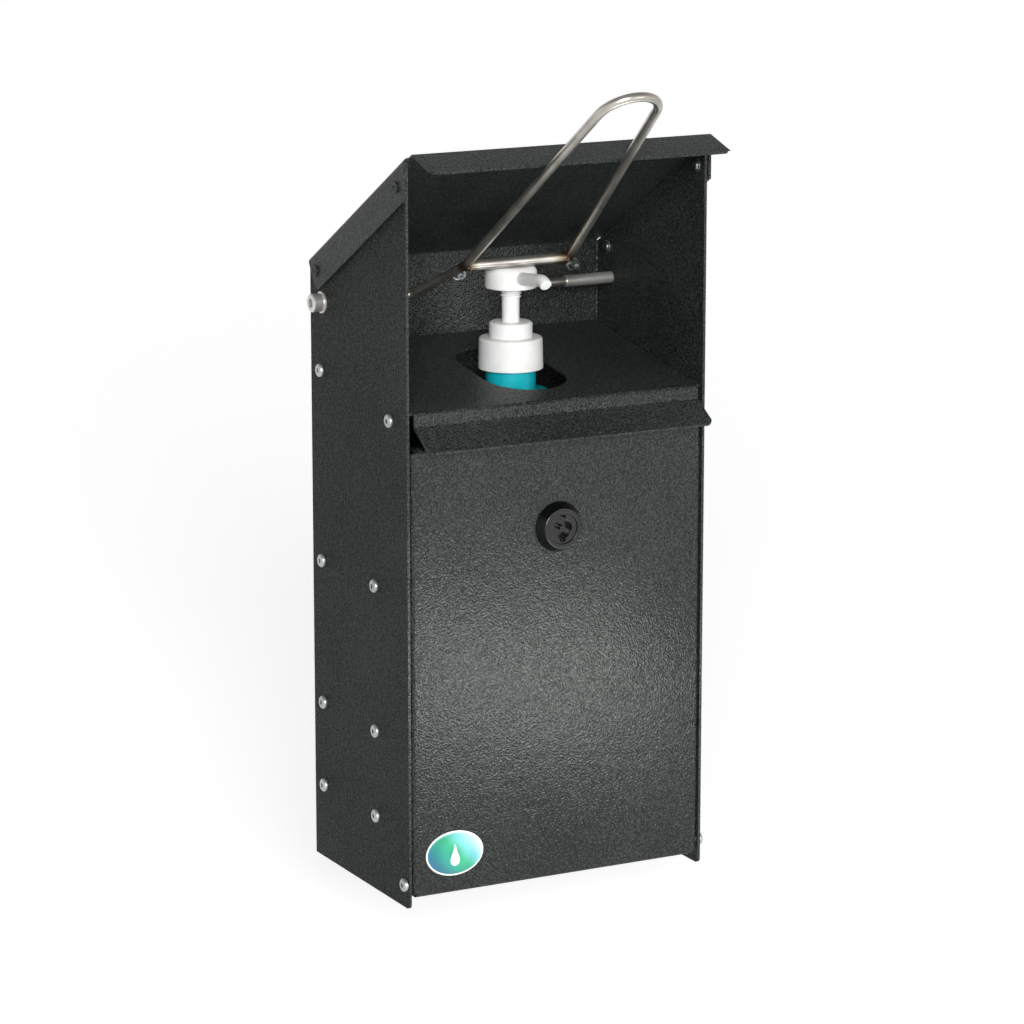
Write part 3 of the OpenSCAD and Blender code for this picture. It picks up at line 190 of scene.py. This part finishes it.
def moulded(name, base, shade, rough, grain_mm, depth_mm, **more):
    """Injection moulded plastic: even colour with faint flow clouds a centimetre wide, and the
    fine spark-eroded grain of its mould."""
    mat, tree, shader = finish(name, Roughness=rough, **more)
    where = add(tree, "ShaderNodeTexCoord").outputs["Object"]
    cloud = add(tree, "ShaderNodeTexNoise", {"Vector": where, "Scale": 90.0, "Detail": 2.0}).outputs["Fac"]
    tree.links.new(ramp(tree, cloud, [(0.35, shade), (0.65, base)]), shader.inputs["Base Color"])
    grain = add(tree, "ShaderNodeTexNoise", {"Vector": where, "Scale": 1.0 / (grain_mm * MM),
                                             "Detail": 2.0}).outputs["Fac"]
    bump = add(tree, "ShaderNodeBump", {"Height": grain, "Strength": 0.3, "Distance": depth_mm * MM})
    tree.links.new(bump.outputs[0], shader.inputs["Normal"])
    return mat


def zinc_plate():
    """Bright zinc with a clear chromate: pale blue-grey crystals 1 mm wide with a straw cast."""
    mat, tree, shader = finish("zinc_plated_steel", Metallic=1.0, Roughness=0.42)
    where = add(tree, "ShaderNodeTexCoord").outputs["Object"]
    grains = add(tree, "ShaderNodeTexVoronoi", {"Vector": where, "Scale": 900.0}).outputs["Color"]
    grey = add(tree, "ShaderNodeRGBToBW", {0: grains}).outputs[0]
    colour = ramp(tree, grey, [(0.2, "#8f9498"), (0.6, "#a6a8a4"), (0.9, "#b9b49e")])
    tree.links.new(colour, shader.inputs["Base Color"])
    return mat


def badge_print(centre):
    """A domed resin badge: clear gloss over a print that runs slantwise from pale aqua to deep
    green and back to teal, with two paler rings round its middle."""
    mat, tree, shader = finish("domed_badge_print", Roughness=0.12, IOR=1.5,
                               Coat_Weight=0.6, Coat_Roughness=0.05)
    where = add(tree, "ShaderNodeTexCoord").outputs["Object"]
    local = add(tree, "ShaderNodeVectorMath", {0: where, 1: tuple(v * MM for v in centre)},
                operation="SUBTRACT").outputs[0]
    slant = add(tree, "ShaderNodeVectorMath", {0: local, 1: (30.0, 0.0, 26.0)},
                operation="DOT_PRODUCT").outputs["Value"]
    place = add(tree, "ShaderNodeMath", {0: slant, 1: 0.5}, operation="ADD").outputs[0]
    colour = ramp(tree, place, [(0.0, "#0f6f8e"), (0.3, "#1c9c86"), (0.55, "#2fae7d"), (0.8, "#7fd0d8"),
                                (1.0, "#d4eef5")])
    rings = add(tree, "ShaderNodeTexWave", {"Vector": local, "Scale": 26.0, "Distortion": 0.0},
                wave_type="RINGS", rings_direction="Y", wave_profile="SIN").outputs["Fac"]
    pale = ramp(tree, rings, [(0.0, "#d9e6e6"), (1.0, "#ffffff")])
    tree.links.new(mixed(tree, colour, pale), shader.inputs["Base Color"])
    return mat


# Middles of the two welds between wire and bar
weld_right = (31.0, BAR[0], BAR[1])
weld_left = (-31.0, BAR[0], BAR[1])

# Powder coat: dull on the cabinet and glossier on the door, where a low lamp shows as a grainy glare. The door
# gets a darker copy of the colour as painted shade, and hood and shelf get a lighter copy as painted light on
# faces that lie in shade
coat = powder_coat("hammered_powder_coat", "#1f2220", "#2e322f", "#434845", 0.45, 0.02)
door_coat_painted_darker = powder_coat("hammered_powder_coat_door_painted_shade", "#171918", "#242725", "#393d3a", 0.46, 0.3)
hood_coat_painted_lighter = powder_coat("hammered_powder_coat_hood_painted_light", "#212523", "#323735", "#484e4b", 0.25, 0.25)
# Steels: satin wire with straw welds; turned sleeves in a paler copy of the steel, painted light that keeps them
# bright where they face the dark recess; bright button heads with a small glint; screws in the recess in a
# duller and darker copy, painted shade; spring wire; and the mirror of a bearing ball
rod_steel = stainless("drawn_stainless_rod", "#c6c2bb", "#979389", 0.35, 0.28, 0.86, along="along",
                      tint=((weld_right, 11.0), (weld_left, 7.0)))
turned_steel_painted_lighter = stainless("turned_stainless_sleeve_painted_light", "#e0deda", "#c0beba", 0.5, 0.36, 0.78)
screw_steel = stainless("cold_headed_stainless", "#bfc2c3", "#989b9d", 0.4, 0.34, 0.85)
steel_painted_darker = stainless("stainless_painted_shade", "#8d9092", "#6c6f71", 0.4, 0.4)
spring_wire = stainless("spring_wire", "#c8c8c6", "#9a9a98", 0.4, 0.3)
polished = stainless("polished_ball", "#dcdcdc", "#c4c4c4", 0.8, 0.1)
zinc = zinc_plate()
# Plastics: clean white with light softened inside it, a wet-looking teal bottle, a near black
# nylon with a low gloss, and a matt grey foam
white_pp = moulded("moulded_white_polypropylene", "#f4f4f2", "#ececea", 0.38, 0.25, 0.01, IOR=1.49,
                   Subsurface_Weight=0.15, Subsurface_Scale=0.002)
teal_pet = moulded("teal_filled_bottle", "#17b3be", "#14a9b5", 0.24, 1.2, 0.02, IOR=1.5)
black_pa = moulded("moulded_black_nylon", "#0c0d0e", "#070808", 0.2, 0.3, 0.012, IOR=1.5)
grey_seal = moulded("grey_foam_seal", "#8a8a88", "#767674", 0.7, 0.4, 0.03)

finish_of_slot = {
    "powder_coat": coat, "rod_steel": turned_steel_painted_lighter, "screw_steel": screw_steel, "zinc_steel": zinc,
    "lock_black": black_pa, "pump_white": white_pp, "bottle_teal": teal_pet, "spring_steel": spring_wire,
    "gasket_grey": grey_seal, "steel_ball": polished, "badge_print": white_pp,
}
# Nodes whose finish isn't their slot's usual one
own_finish = {
    # Hood, press nuts and shelf take the lighter copy of the coat, painted light; the door takes the darker
    # copy, painted shade
    "hood": hood_coat_painted_lighter, "hood_press_nuts": hood_coat_painted_lighter, "shelf": hood_coat_painted_lighter, "door_panel": door_coat_painted_darker,
    # The recess screws take the darker steel, painted shade; the pivot screws and washers take the paler one,
    # painted light
    "wall_screws": steel_painted_darker, "hood_screws": steel_painted_darker, "pivot_screws": turned_steel_painted_lighter,
    "pivot_washers": turned_steel_painted_lighter,
}


# Meshes

def skin(name, grid, close_u=False, close_v=False, along=None):
    """A skin over a grid of points in millimetres: point (i, j) makes a quad with (i+1, j),
    (i+1, j+1) and (i, j+1). Closed directions wrap round. Points that fall together, at poles
    and seams, are merged, and faces turned outwards. along, one vector a point, is kept as the
    attribute that drawn grain follows."""
    rows, columns = grid.shape[:2]
    i = np.arange(rows if close_u else rows - 1)[:, None]
    j = np.arange(columns if close_v else columns - 1)[None, :]
    up, over = (i + 1) % rows, (j + 1) % columns
    quads = np.stack([i * columns + j, up * columns + j, up * columns + over, i * columns + over], -1)
    mesh = bpy.data.meshes.new(name)
    mesh.from_pydata((grid.reshape(-1, 3) * MM).tolist(), [], quads.reshape(-1, 4).tolist())
    if along is not None:
        kept = mesh.attributes.new("along", "FLOAT_VECTOR", "POINT")
        kept.data.foreach_set("vector", (along.reshape(-1, 3) * MM).astype(np.float32).ravel())
    work = bmesh.new()
    work.from_mesh(mesh)
    bmesh.ops.remove_doubles(work, verts=work.verts, dist=2e-7)
    bmesh.ops.recalc_face_normals(work, faces=work.faces)
    for face in work.faces:
        face.smooth = True
    for edge in work.edges:
        edge.smooth = not edge.is_manifold or edge.calc_face_angle(0.0) < math.radians(40)
    work.to_mesh(mesh)
    work.free()
    obj = bpy.data.objects.new(name, mesh)
    bpy.context.scene.collection.objects.link(obj)
    return obj


def lathe(name, profile, centre, sides=128, ripple=None, closed=True):
    """A profile of (radius, height) points turned about a vertical axis: x is radius times the
    cosine of the angle, y times its sine. ripple(angle, height) is added to the radius."""
    profile = np.asarray(profile, float)
    angle = np.linspace(0, 2 * np.pi, sides, endpoint=False)[None, :]
    radius, height = profile[:, :1], profile[:, 1:]
    if ripple is not None:
        radius = radius + ripple(angle, height)
    x, y = centre[0] + radius * np.cos(angle), centre[1] + radius * np.sin(angle)
    return skin(name, np.stack(np.broadcast_arrays(x, y, height), -1), close_u=closed, close_v=True)


def arc(centre, radius, start, end, steps=8):
    """Points on a circle of that radius from one angle to another, in degrees."""
    a = np.radians(np.linspace(start, end, steps))[:, None]
    return np.asarray(centre, float) + radius * np.hstack([np.cos(a), np.sin(a)])


def rounded_path(corners, radii, step=0.8):
    """Straight runs between corners, each corner replaced by an arc of its radius. The arc
    starts at radius times tan(half the turn) before the corner, and its point at share t of the
    turn is centre + radius * (sin(t * turn) * first direction - cos(t * turn) * inward)."""
    corners = np.asarray(corners, float)
    runs = [corners[:1]]
    for before, at, after, radius in zip(corners, corners[1:], corners[2:], radii):
        first, second = (at - before) / np.linalg.norm(at - before), (after - at) / np.linalg.norm(after - at)
        turn = np.arccos(np.clip(first @ second, -1, 1))
        inward = (second - first * np.cos(turn)) / np.sin(turn)
        start = at - first * radius * np.tan(turn / 2)
        share = np.linspace(0, turn, max(int(radius * turn / step), 6))[:, None]
        runs.append(start + radius * inward + radius * (np.sin(share) * first - np.cos(share) * inward))
    runs.append(corners[-1:])
    points = np.concatenate(runs)
    # Long straight runs get points too, so that every ring is about as long as it is wide
    gaps = np.linalg.norm(np.diff(points, axis=0), axis=1)
    travelled = np.concatenate([[0], np.cumsum(gaps)])
    extra = np.arange(0, travelled[-1], 4.0)
    stations = np.unique(np.concatenate([travelled, extra]).round(4))
    return np.stack([np.interp(stations, travelled, points[:, k]) for k in range(3)], 1)


def tube(name, path, radius, normal, sides=40, end_round=0.5, squeeze=None):
    """A round bar along a path. At each point the ring lies in the plane across the tangent,
    spanned by the tangent crossed with a fixed normal, and by that crossed with the tangent.
    The ends are rounded over the last end_round millimetres. squeeze(s) scales the ring. The
    attribute along is the length, shortened so that drawn grain stretches, and the ring's two
    coordinates."""
    path = np.asarray(path, float)
    tangent = np.gradient(path, axis=0)
    tangent /= np.linalg.norm(tangent, axis=1, keepdims=True)
    side = np.cross(tangent, np.asarray(normal, float))
    side /= np.linalg.norm(side, axis=1, keepdims=True)
    up = np.cross(side, tangent)
    travelled = np.concatenate([[0], np.cumsum(np.linalg.norm(np.diff(path, axis=0), axis=1))])
    size = np.full(len(path), float(radius)) if squeeze is None else radius * squeeze(travelled)
    first = [(path[0] + tangent[0] * end_round * (1 - np.sin(b)), size[0] - end_round * (1 - np.cos(b)))
             for b in np.radians(np.linspace(90, 0, 6))]
    last = [(path[-1] - tangent[-1] * end_round * (1 - np.sin(b)), size[-1] - end_round * (1 - np.cos(b)))
            for b in np.radians(np.linspace(0, 90, 6))]
    inside = (travelled > end_round * 1.01) & (travelled < travelled[-1] - end_round * 1.01)
    rings = [(path[0], 0.0)] + first + list(zip(path[inside], size[inside])) + last + [(path[-1], 0.0)]
    spots = np.array([r[0] for r in rings])
    sizes = np.array([r[1] for r in rings])
    pick = np.concatenate([[0] * 7, np.flatnonzero(inside), [len(path) - 1] * 7])
    angle = np.linspace(0, 2 * np.pi, sides, endpoint=False)
    cos, sin = np.cos(angle)[None, :, None], np.sin(angle)[None, :, None]
    ring = side[pick][:, None, :] * cos + up[pick][:, None, :] * sin
    grid = spots[:, None, :] + ring * sizes[:, None, None]
    grain_stretch = 0.03
    length = travelled[pick][:, None] * grain_stretch
    across = sizes[:, None] * np.cos(angle), sizes[:, None] * np.sin(angle)
    along = np.stack(np.broadcast_arrays(length, *across), -1)
    return skin(name, grid, close_v=True, along=along)


def wear(obj, material, body, nodes=()):
    """The piece gets its material, rides on its body and stands for the CAD nodes named."""
    obj.data.materials.clear()
    obj.data.materials.append(material)
    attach(obj, body)
    if nodes:
        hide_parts(*nodes)
    return obj


def dressed(node, edge, sharp=28.0, segments=2):
    """A CAD node with softened edges: its loose triangles are merged, flat ones joined, and
    every edge sharper than the limit is rounded by edge millimetres."""
    source = frame["nodes"][node]
    mesh = source.data.copy()
    mesh.name = node + "_soft"
    work = bmesh.new()
    work.from_mesh(mesh)
    bmesh.ops.remove_doubles(work, verts=work.verts, dist=1e-6)
    bmesh.ops.dissolve_limit(work, angle_limit=math.radians(0.4), verts=work.verts, edges=work.edges)
    for face in work.faces:
        face.smooth = True
    for e in work.edges:
        e.smooth = not e.is_manifold or e.calc_face_angle(0.0) < math.radians(sharp)
    work.to_mesh(mesh)
    work.free()
    obj = bpy.data.objects.new(node + "_soft", mesh)
    bpy.context.scene.collection.objects.link(obj)
    round_off = obj.modifiers.new("edge", "BEVEL")
    round_off.width = edge * MM
    round_off.segments = segments
    round_off.limit_method = "ANGLE"
    round_off.angle_limit = math.radians(sharp)
    round_off.harden_normals = True
    round_off.use_clamp_overlap = True
    return wear(obj, own_finish.get(node, finish_of_slot[slot_of[node]]), body_of[node], (node,))


# Sheet metal and fasteners keep their CAD shape, with softened edges

for node, edge in {
    "body_shell": 0.12, "hood": 0.15, "shelf": 0.3, "door_panel": 0.3, "bottle_tray": 0.3,
    "floor_pan": 0.3, "latch_keeper": 0.3, "side_screws": 0.16, "door_pivot_pins": 0.16,
    "hood_screws": 0.14, "wall_screws": 0.16, "pivot_screws": 0.25, "pivot_washers": 0.2,
    "wall_screw_washers": 0.12, "hood_screw_washers": 0.1,
    "hood_press_nuts": 0.18, "lock_housing": 0.45, "lock_plug": 0.2, "lock_nut": 0.3,
    "lock_cam": 0.3, "cam_screw": 0.2, "shelf_nuts": 0.25, "tray_nuts": 0.25, "spare_hole_nuts": 0.25,
}.items():
    dressed(node, edge)

for node in ("neck_gasket", "pump_chamber", "inlet_ball", "dip_tube", "pump_piston"):
    frame["nodes"][node].data.materials.clear()
    frame["nodes"][node].data.materials.append(finish_of_slot[slot_of[node]])


# Lever: one bent rod and a bar welded across it

def rod_points():
    """The rod's corners from its right end to its left: pin, leg, bend at the bar, and the point
    where the two upper legs would meet, mirrored."""
    far, loop = 150.5, 17.0
    aim = math.atan2(-far, 31.6) + math.acos(loop / math.hypot(31.6, far))
    touch = np.array([loop * math.cos(aim), far + loop * math.sin(aim)])
    meet = 31.6 * touch[1] / (31.6 - touch[0])
    tip = (0.0, BAR[0] - meet * math.cos(RISE), BAR[1] + meet * math.sin(RISE))
    right = [(76.5, *PIVOT), (35.0, *PIVOT), (31.6, *BAR)]
    return right + [tip] + [(-x, y, z) for x, y, z in right[::-1]]


def sleeve(name, side):
    """A turned sleeve that the lever's pin turns in: a wall from radius 2.6 to 3.3 mm with broken
    edges and three fine tool marks, turned about the pivots' axis."""
    marks = np.array([61.4, 66.9, 80.2])
    x = np.linspace(58.9, 88.1, 110)
    outer = 3.3 - 0.05 * np.exp(-((x[:, None] - marks) / 0.22) ** 2).sum(1)
    x = np.concatenate([[58.5, 58.5, 58.65], x, [88.35, 88.5, 88.5]])
    r = np.concatenate([[2.6, 3.05, 3.22], outer, [3.22, 3.05, 2.6]])[:, None]
    turn = np.linspace(0, 2 * np.pi, 64, endpoint=False)[None, :]
    y, z = PIVOT[0] + r * np.cos(turn), PIVOT[1] + r * np.sin(turn)
    return skin(name, np.stack(np.broadcast_arrays(side * x[:, None], y, z), -1), close_u=True, close_v=True)


wear(sleeve("sleeve_right", 1), turned_steel_painted_lighter, "cabinet", ("pivot_sleeves",))
wear(sleeve("sleeve_left", -1), turned_steel_painted_lighter, "cabinet")

# A direction that the wire never runs along, for its rings
across = (0.0, math.sin(RISE * 0.8), math.cos(RISE * 0.8))
rod = tube("lever_wire", rounded_path(rod_points(), (6, 8, 17, 8, 6)), ROD_R, across, sides=36)
wear(rod, rod_steel, "lever", ("lever_rod",))

bar_path = np.stack([np.linspace(-31.4, 31.4, 60), np.full(60, BAR[0]), np.full(60, BAR[1])], 1)
bar = tube("pressing_bar", bar_path, BAR_R, across, sides=36)
wear(bar, rod_steel, "lever", ("lever_cross_bar",))


def weld_bead(name, side):
    """A weld bead round the bar's end: a squashed ring whose radius swells by a few tenths in
    seven ripples, as a hand laid bead does."""
    turn = np.linspace(0, 2 * np.pi, 72, endpoint=False)[:, None]
    around = np.linspace(0, 2 * np.pi, 20, endpoint=False)[None, :]
    thick = 0.85 + 0.12 * np.sin(7 * turn + side) + 0.05 * np.sin(19 * turn)
    ring = 2.75 + 0.15 * np.cos(2 * turn) + thick * np.cos(around)
    x = side * (29.3 + 0.35 * np.cos(turn * 2) - thick * 0.8 * np.sin(around))
    y = BAR[0] + ring * np.cos(turn)
    z = BAR[1] + ring * np.sin(turn)
    grid = np.stack(np.broadcast_arrays(x, y, z), -1)
    return wear(skin(name, grid, close_u=True, close_v=True), rod_steel, "lever")


weld_bead("weld_right", 1)
weld_bead("weld_left", -1)


# Pump

def closure_ribs(angle, height):
    """Grip ribs: 90 soft cosine waves 0.03 mm deep that fade out at the rim and the crown."""
    fade = np.clip((height - 279.6) / 1.2, 0, 1) * np.clip((294.6 - height) / 1.2, 0, 1)
    return 0.015 * fade * (np.cos(90 * angle) - 1)


foot, top = 278.82, 296.02
closure = np.concatenate([
    [(14.05, foot + 0.3), (14.4, foot)], arc((17.3, foot + 0.4), 0.4, -90, 0, 5),
    np.stack([np.linspace(17.7, 17.35, 26), np.linspace(foot + 0.8, top - 1.9, 26)], 1),
    arc((15.85, top - 1.5), 1.5, 8, 90, 9), [(12.2, top), (6.7, top), (6.7, top - 1.9), (14.05, top - 1.9)],
])
wear(lathe("closure_cap", closure, PUMP, 720, closure_ribs), white_pp, "cabinet", ("pump_closure",))

foot, top = 296.02, 304.42
collar = np.concatenate([
    [(6.7, foot), (11.7, foot)], arc((11.6, foot + 0.3), 0.3, -60, 0, 4),
    arc((10.3, top - 1.6), 1.6, 0, 90, 9), [(7.2, top), (6.3, top - 0.15)],
    arc((5.5, top - 0.6), 0.6, 60, 180, 6), [(4.9, top - 4), (4.9, foot + 3), (6.7, foot + 3)],
])
wear(lathe("collar_nut", collar, PUMP), white_pp, "cabinet", ("pump_collar",))


def thread(angle, height):
    """A single-start thread 2.2 mm apart: the rib stands 0.9 mm out where height less the
    turned share of the pitch is near a whole pitch, and fades out at both ends."""
    phase = (height - 318.0) / 2.2 - angle / (2 * np.pi)
    near = np.abs(phase - np.round(phase)) * 2.2
    rib = 0.9 * np.clip(1.25 - near / 0.62, 0, 1)
    return rib * np.clip((height - 317.5) / 0.6, 0, 1) * np.clip((322.2 - height) / 0.6, 0, 1)


stem = np.concatenate([
    [(2.0, 266.4), (4.8, 266.4)], np.stack([np.full(8, 4.8), np.linspace(270, 312.5, 8)], 1),
    [(4.8, 314.0), (4.82, 316.0), (4.82, 317.4)],
    np.stack([np.full(56, 4.85), np.linspace(317.5, 322.5, 56)], 1),
    [(4.85, 322.66), (3.5, 322.7), (3.5, 325.2), (2.0, 325.2)],
])
wear(lathe("stem_tube", stem, PUMP, 144, thread), white_pp, "plunger", ("pump_stem",))


def return_spring():
    """The spring under the piston: seven turns of 0.9 mm wire, 4.35 mm about the pump's axis, whose height grows
    evenly with the angle."""
    coils, coil_r, wire_r, foot, height = 7, 4.35, 0.45, 244.5, 15.6
    turn = np.linspace(0, 2 * np.pi * coils, 40 * coils + 1)
    rise = foot + wire_r + (height - 2 * wire_r) * turn / turn[-1]
    path = np.stack([PUMP[0] + coil_r * np.cos(turn), PUMP[1] + coil_r * np.sin(turn), rise], 1)
    wire = tube("return_spring", path, wire_r, (0, 0, 1), 16, end_round=0.2)
    wear(wire, spring_wire, "cabinet", ("pump_spring",))
    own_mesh(wire)


return_spring()


def head_shell():
    """The pump head as one moulding: a disc with a domed crown, whose rim is a quarter of an
    ellipse 3.4 mm wide and 3.6 mm high, and a nozzle that leaves its front rising a little and
    turns down at the mouth. The closed pieces are joined, remeshed into one skin with 0.3 mm
    cells, and the skin is relaxed, which leaves the small fillets that a mould has."""
    low, high, root = 323.02, 335.02, 327.92
    bend = np.linspace(0, np.pi / 2, 12)[:, None]
    crown = np.hstack([14.2 - 3.4 * (1 - np.cos(bend)), high - 3.6 * (1 - np.sin(bend))])
    disc = np.concatenate([[(0.0, low), (13.1, low)], arc((13.4, low + 0.8), 0.8, -80, 0, 7), crown,
                           [(0.0, high)]])
    parts = [lathe("head_disc", disc, PUMP, 160, closed=False)]
    nozzle = rounded_path([(0, PUMP[1] - 4, root + 0.45), (0, PUMP[1] - 37.6, root + 4.2),
                           (0, PUMP[1] - 40.9, root + 1.65)], (8,), step=0.4)
    parts.append(tube("head_nozzle", nozzle, 3.4, (0, 0.2, 1), 40, end_round=0.7,
                      squeeze=lambda s: 1.06 - 0.08 * np.clip(s / 30, 0, 1)))
    joined = bmesh.new()
    for part in parts:
        joined.from_mesh(part.data)
        bpy.data.objects.remove(part)
    mesh = bpy.data.meshes.new("head_blank")
    joined.to_mesh(mesh)
    joined.free()
    obj = bpy.data.objects.new("head_moulding", mesh)
    bpy.context.scene.collection.objects.link(obj)
    cells = obj.modifiers.new("cells", "REMESH")
    cells.mode, cells.voxel_size, cells.use_smooth_shade = "VOXEL", 0.3 * MM, True
    relax = obj.modifiers.new("relax", "SMOOTH")
    relax.factor, relax.iterations = 0.5, 8
    solid = bpy.data.meshes.new_from_object(obj.evaluated_get(bpy.context.evaluated_depsgraph_get()))
    bpy.data.objects.remove(obj)
    obj = bpy.data.objects.new("head_moulding", solid)
    bpy.context.scene.collection.objects.link(obj)
    return obj


wear(head_shell(), white_pp, "pump_top", ("pump_head",))


# Bottle: a blow moulded body with a soft shoulder

def bottle_skin():
    """Rings from base to neck: each is a superellipse, |x / a|^n + |y / b|^n = 1, whose half
    widths a and b and power n run smoothly from the body's rounded box to the neck's circle."""
    base, shoulder, ledge, rim = 49.6, 238.0, 266.7, 293.0
    # Height, half width, half depth and power
    rows = np.array([
        (base, 0.01, 0.01, 2.0), (base, 30, 20, 2.6), (base + 0.6, 37, 25, 3.0), (base + 3, 43.6, 30.6, 3.6),
        (base + 7, 45.6, 32.6, 4.0), (base + 12, 46, 33, 4.2), (shoulder - 30, 46, 33, 4.2),
        (shoulder, 45.6, 32.7, 4.0), (shoulder + 8, 43, 30.8, 3.4), (shoulder + 16, 36, 27, 2.8),
        (ledge - 6, 27.5, 23, 2.3), (ledge - 2.4, 21.6, 21, 2.0), (ledge - 2, 20.3, 20.3, 2.0),
        (ledge - 0.4, 20.4, 20.4, 2.0), (ledge, 20.0, 20.0, 2.0), (ledge + 0.1, 14.6, 14.6, 2.0),
        (ledge + 0.9, 13.7, 13.7, 2.0), (rim - 0.5, 13.7, 13.7, 2.0), (rim, 13.2, 13.2, 2.0),
        (rim, 0.01, 0.01, 2.0)], float)
    keys = np.arange(len(rows))
    fine = np.concatenate([np.linspace(0, 11, 89)[:-1], np.linspace(11, len(rows) - 1, 40)])
    z, a, b, n = (np.interp(fine, keys, rows[:, k])[:, None] for k in range(4))
    angle = np.linspace(0, 2 * np.pi, 160, endpoint=False)[None, :]
    c, s = np.cos(angle), np.sin(angle)
    x = PUMP[0] + a * np.sign(c) * np.abs(c) ** (2 / n)
    y = PUMP[1] + b * np.sign(s) * np.abs(s) ** (2 / n)
    return skin("bottle_skin", np.stack(np.broadcast_arrays(x, y, z), -1), close_v=True)


wear(bottle_skin(), teal_pet, "cabinet", ("bottle",))


# Badge: a domed oval with a white rim and a plain drop

def dome(name, outline, lift, crown, rim_drop, rings=14):
    """A cap over an outline of x and z points: ring t of the cap is the outline times
    sin(t * 90 degrees), and it stands lift + crown * cos(t * 90 degrees) in front of the door,
    then a short wall and a flat back close it."""
    outline = np.asarray(outline, float)
    t = np.linspace(0, np.pi / 2, rings)[:, None]
    share = np.concatenate([np.sin(t), [[1.0]], [[0.0]]])
    stand = np.concatenate([lift + crown * np.cos(t), [[lift - rim_drop]], [[lift - rim_drop]]])
    x = BADGE[0] + share * outline[None, :, 0]
    z = BADGE[2] + share * outline[None, :, 1]
    y = np.broadcast_to(BADGE[1] - stand, x.shape)
    return skin(name, np.stack([x, y, z], -1), close_v=True)


sweep = np.linspace(0, 2 * np.pi, 96, endpoint=False)
oval = np.stack([np.cos(sweep), np.sin(sweep)], 1)
wear(dome("badge_rim", oval * (17.2, 12.45), 0.25, 0.3, 0.24), white_pp, "door", ("info_badge",))
wear(dome("badge_face", oval * (16.3, 11.55), 0.5, 0.28, 0.3), badge_print(BADGE), "door")
drop = np.stack([4.1 * np.sin(sweep) * np.sin(sweep / 2) ** 1.6, -0.8 + 6.2 * np.cos(sweep)], 1)
wear(dome("badge_drop", drop, 0.76, 0.03, 0.1), white_pp, "door")


# Studio

def aimed(name, kind, spot, aim, power, **settings):
    """A lamp at a spot that points at the aim, hidden from the camera itself."""
    lamp = bpy.data.lights.new(name, kind)
    lamp.energy = power
    for key, value in settings.items():
        setattr(lamp, key, value)
    obj = bpy.data.objects.new(name, lamp)
    bpy.context.scene.collection.objects.link(obj)
    direction = np.subtract(aim, spot)
    tilt = math.atan2(math.hypot(direction[0], direction[1]), -direction[2])
    heading = math.atan2(direction[1], direction[0]) - math.pi / 2
    obj.location = spot
    obj.rotation_euler = (tilt, 0.0, heading)
    obj.visible_camera = False


def background_rays(tree):
    """1 for camera, glossy and transmission rays, which see the white background."""
    rays = add(tree, "ShaderNodeLightPath").outputs
    seen = add(tree, "ShaderNodeMath", {0: rays["Is Camera Ray"], 1: rays["Is Glossy Ray"]}, operation="MAXIMUM")
    return add(tree, "ShaderNodeMath", {0: seen.outputs[0], 1: rays["Is Transmission Ray"]},
               operation="MAXIMUM").outputs[0]


def studio():
    """A pale floor below the open door's reach, a white surround that darkens overhead, a soft key
    from the front, a softbox and a low strip at the front right."""
    half = 9.0
    corners = [(-half, -half, FLOOR_Z), (half, -half, FLOOR_Z), (half, half, FLOOR_Z), (-half, half, FLOOR_Z)]
    mesh = bpy.data.meshes.new("floor")
    mesh.from_pydata(corners, [], [(0, 1, 2, 3)])
    floor = bpy.data.objects.new("floor", mesh)
    bpy.context.scene.collection.objects.link(floor)
    # The floor's own glow, with the lamps' light on it, comes to white
    floor_glow = 0.7
    mat, tree, shader = finish("pale_floor", Base_Color=paint("#e6e6e6"), Roughness=0.9,
                               Specular_IOR_Level=0.1, Emission_Color=(1, 1, 1, 1))
    glow = add(tree, "ShaderNodeMath", {0: background_rays(tree), 1: floor_glow}, operation="MULTIPLY")
    tree.links.new(glow.outputs[0], shader.inputs["Emission Strength"])
    mesh.materials.append(mat)

    world = bpy.data.worlds.new("surround")
    bpy.context.scene.world = world
    world.use_nodes = True
    tree = world.node_tree
    # White at the horizon and darker overhead. As a light on the object it has a quarter of that
    darkest, light_share = 0.3, 0.26
    sky = add(tree, "ShaderNodeTexCoord").outputs["Generated"]
    up = add(tree, "ShaderNodeSeparateXYZ", {0: sky}).outputs["Z"]
    shade = add(tree, "ShaderNodeMapRange", {"Value": up, "From Min": 0.1, "From Max": 0.75,
                                             "To Min": 1.0, "To Max": darkest}).outputs[0]
    share = add(tree, "ShaderNodeMapRange", {"Value": background_rays(tree),
                                             "To Min": light_share, "To Max": 1.0}).outputs[0]
    level = add(tree, "ShaderNodeMath", {0: shade, 1: share}, operation="MULTIPLY").outputs[0]
    back = tree.nodes["Background"]
    back.inputs["Color"].default_value = (1, 1, 1, 1)
    tree.links.new(level, back.inputs["Strength"])

    aimed("key", "SUN", (-0.40, -0.90, 0.28), (0, 0, 0), 2.85, angle=math.radians(24))
    aimed("front", "AREA", (0.75, -2.1, 0.45), (0, -0.06, 0.28), 6.0, shape="RECTANGLE", size=1.0, size_y=0.7)
    aimed("strip", "AREA", (0.07, -0.34, 0.050), (-0.02, -0.12, 0.13), 0.4, shape="RECTANGLE",
          size=0.22, size_y=0.05, color=(0.93, 1.0, 0.96))


def camera():
    """The photograph's viewpoint: in front to the left, looking down 12.8 degrees."""
    pitch, heading = -0.2228, -0.4820
    data = bpy.data.cameras.new("camera")
    data.lens, data.sensor_width = 144.04, 36.0
    data.clip_start, data.clip_end = 0.05, 50.0
    obj = bpy.data.objects.new("camera", data)
    obj.location = (-1.0130, -2.0029, 0.6938)
    obj.rotation_euler = (math.pi / 2 + pitch, 0.0, heading)
    bpy.context.scene.collection.objects.link(obj)
    bpy.context.scene.camera = obj


studio()
camera()
bpy.context.scene.view_settings.view_transform = "Standard"
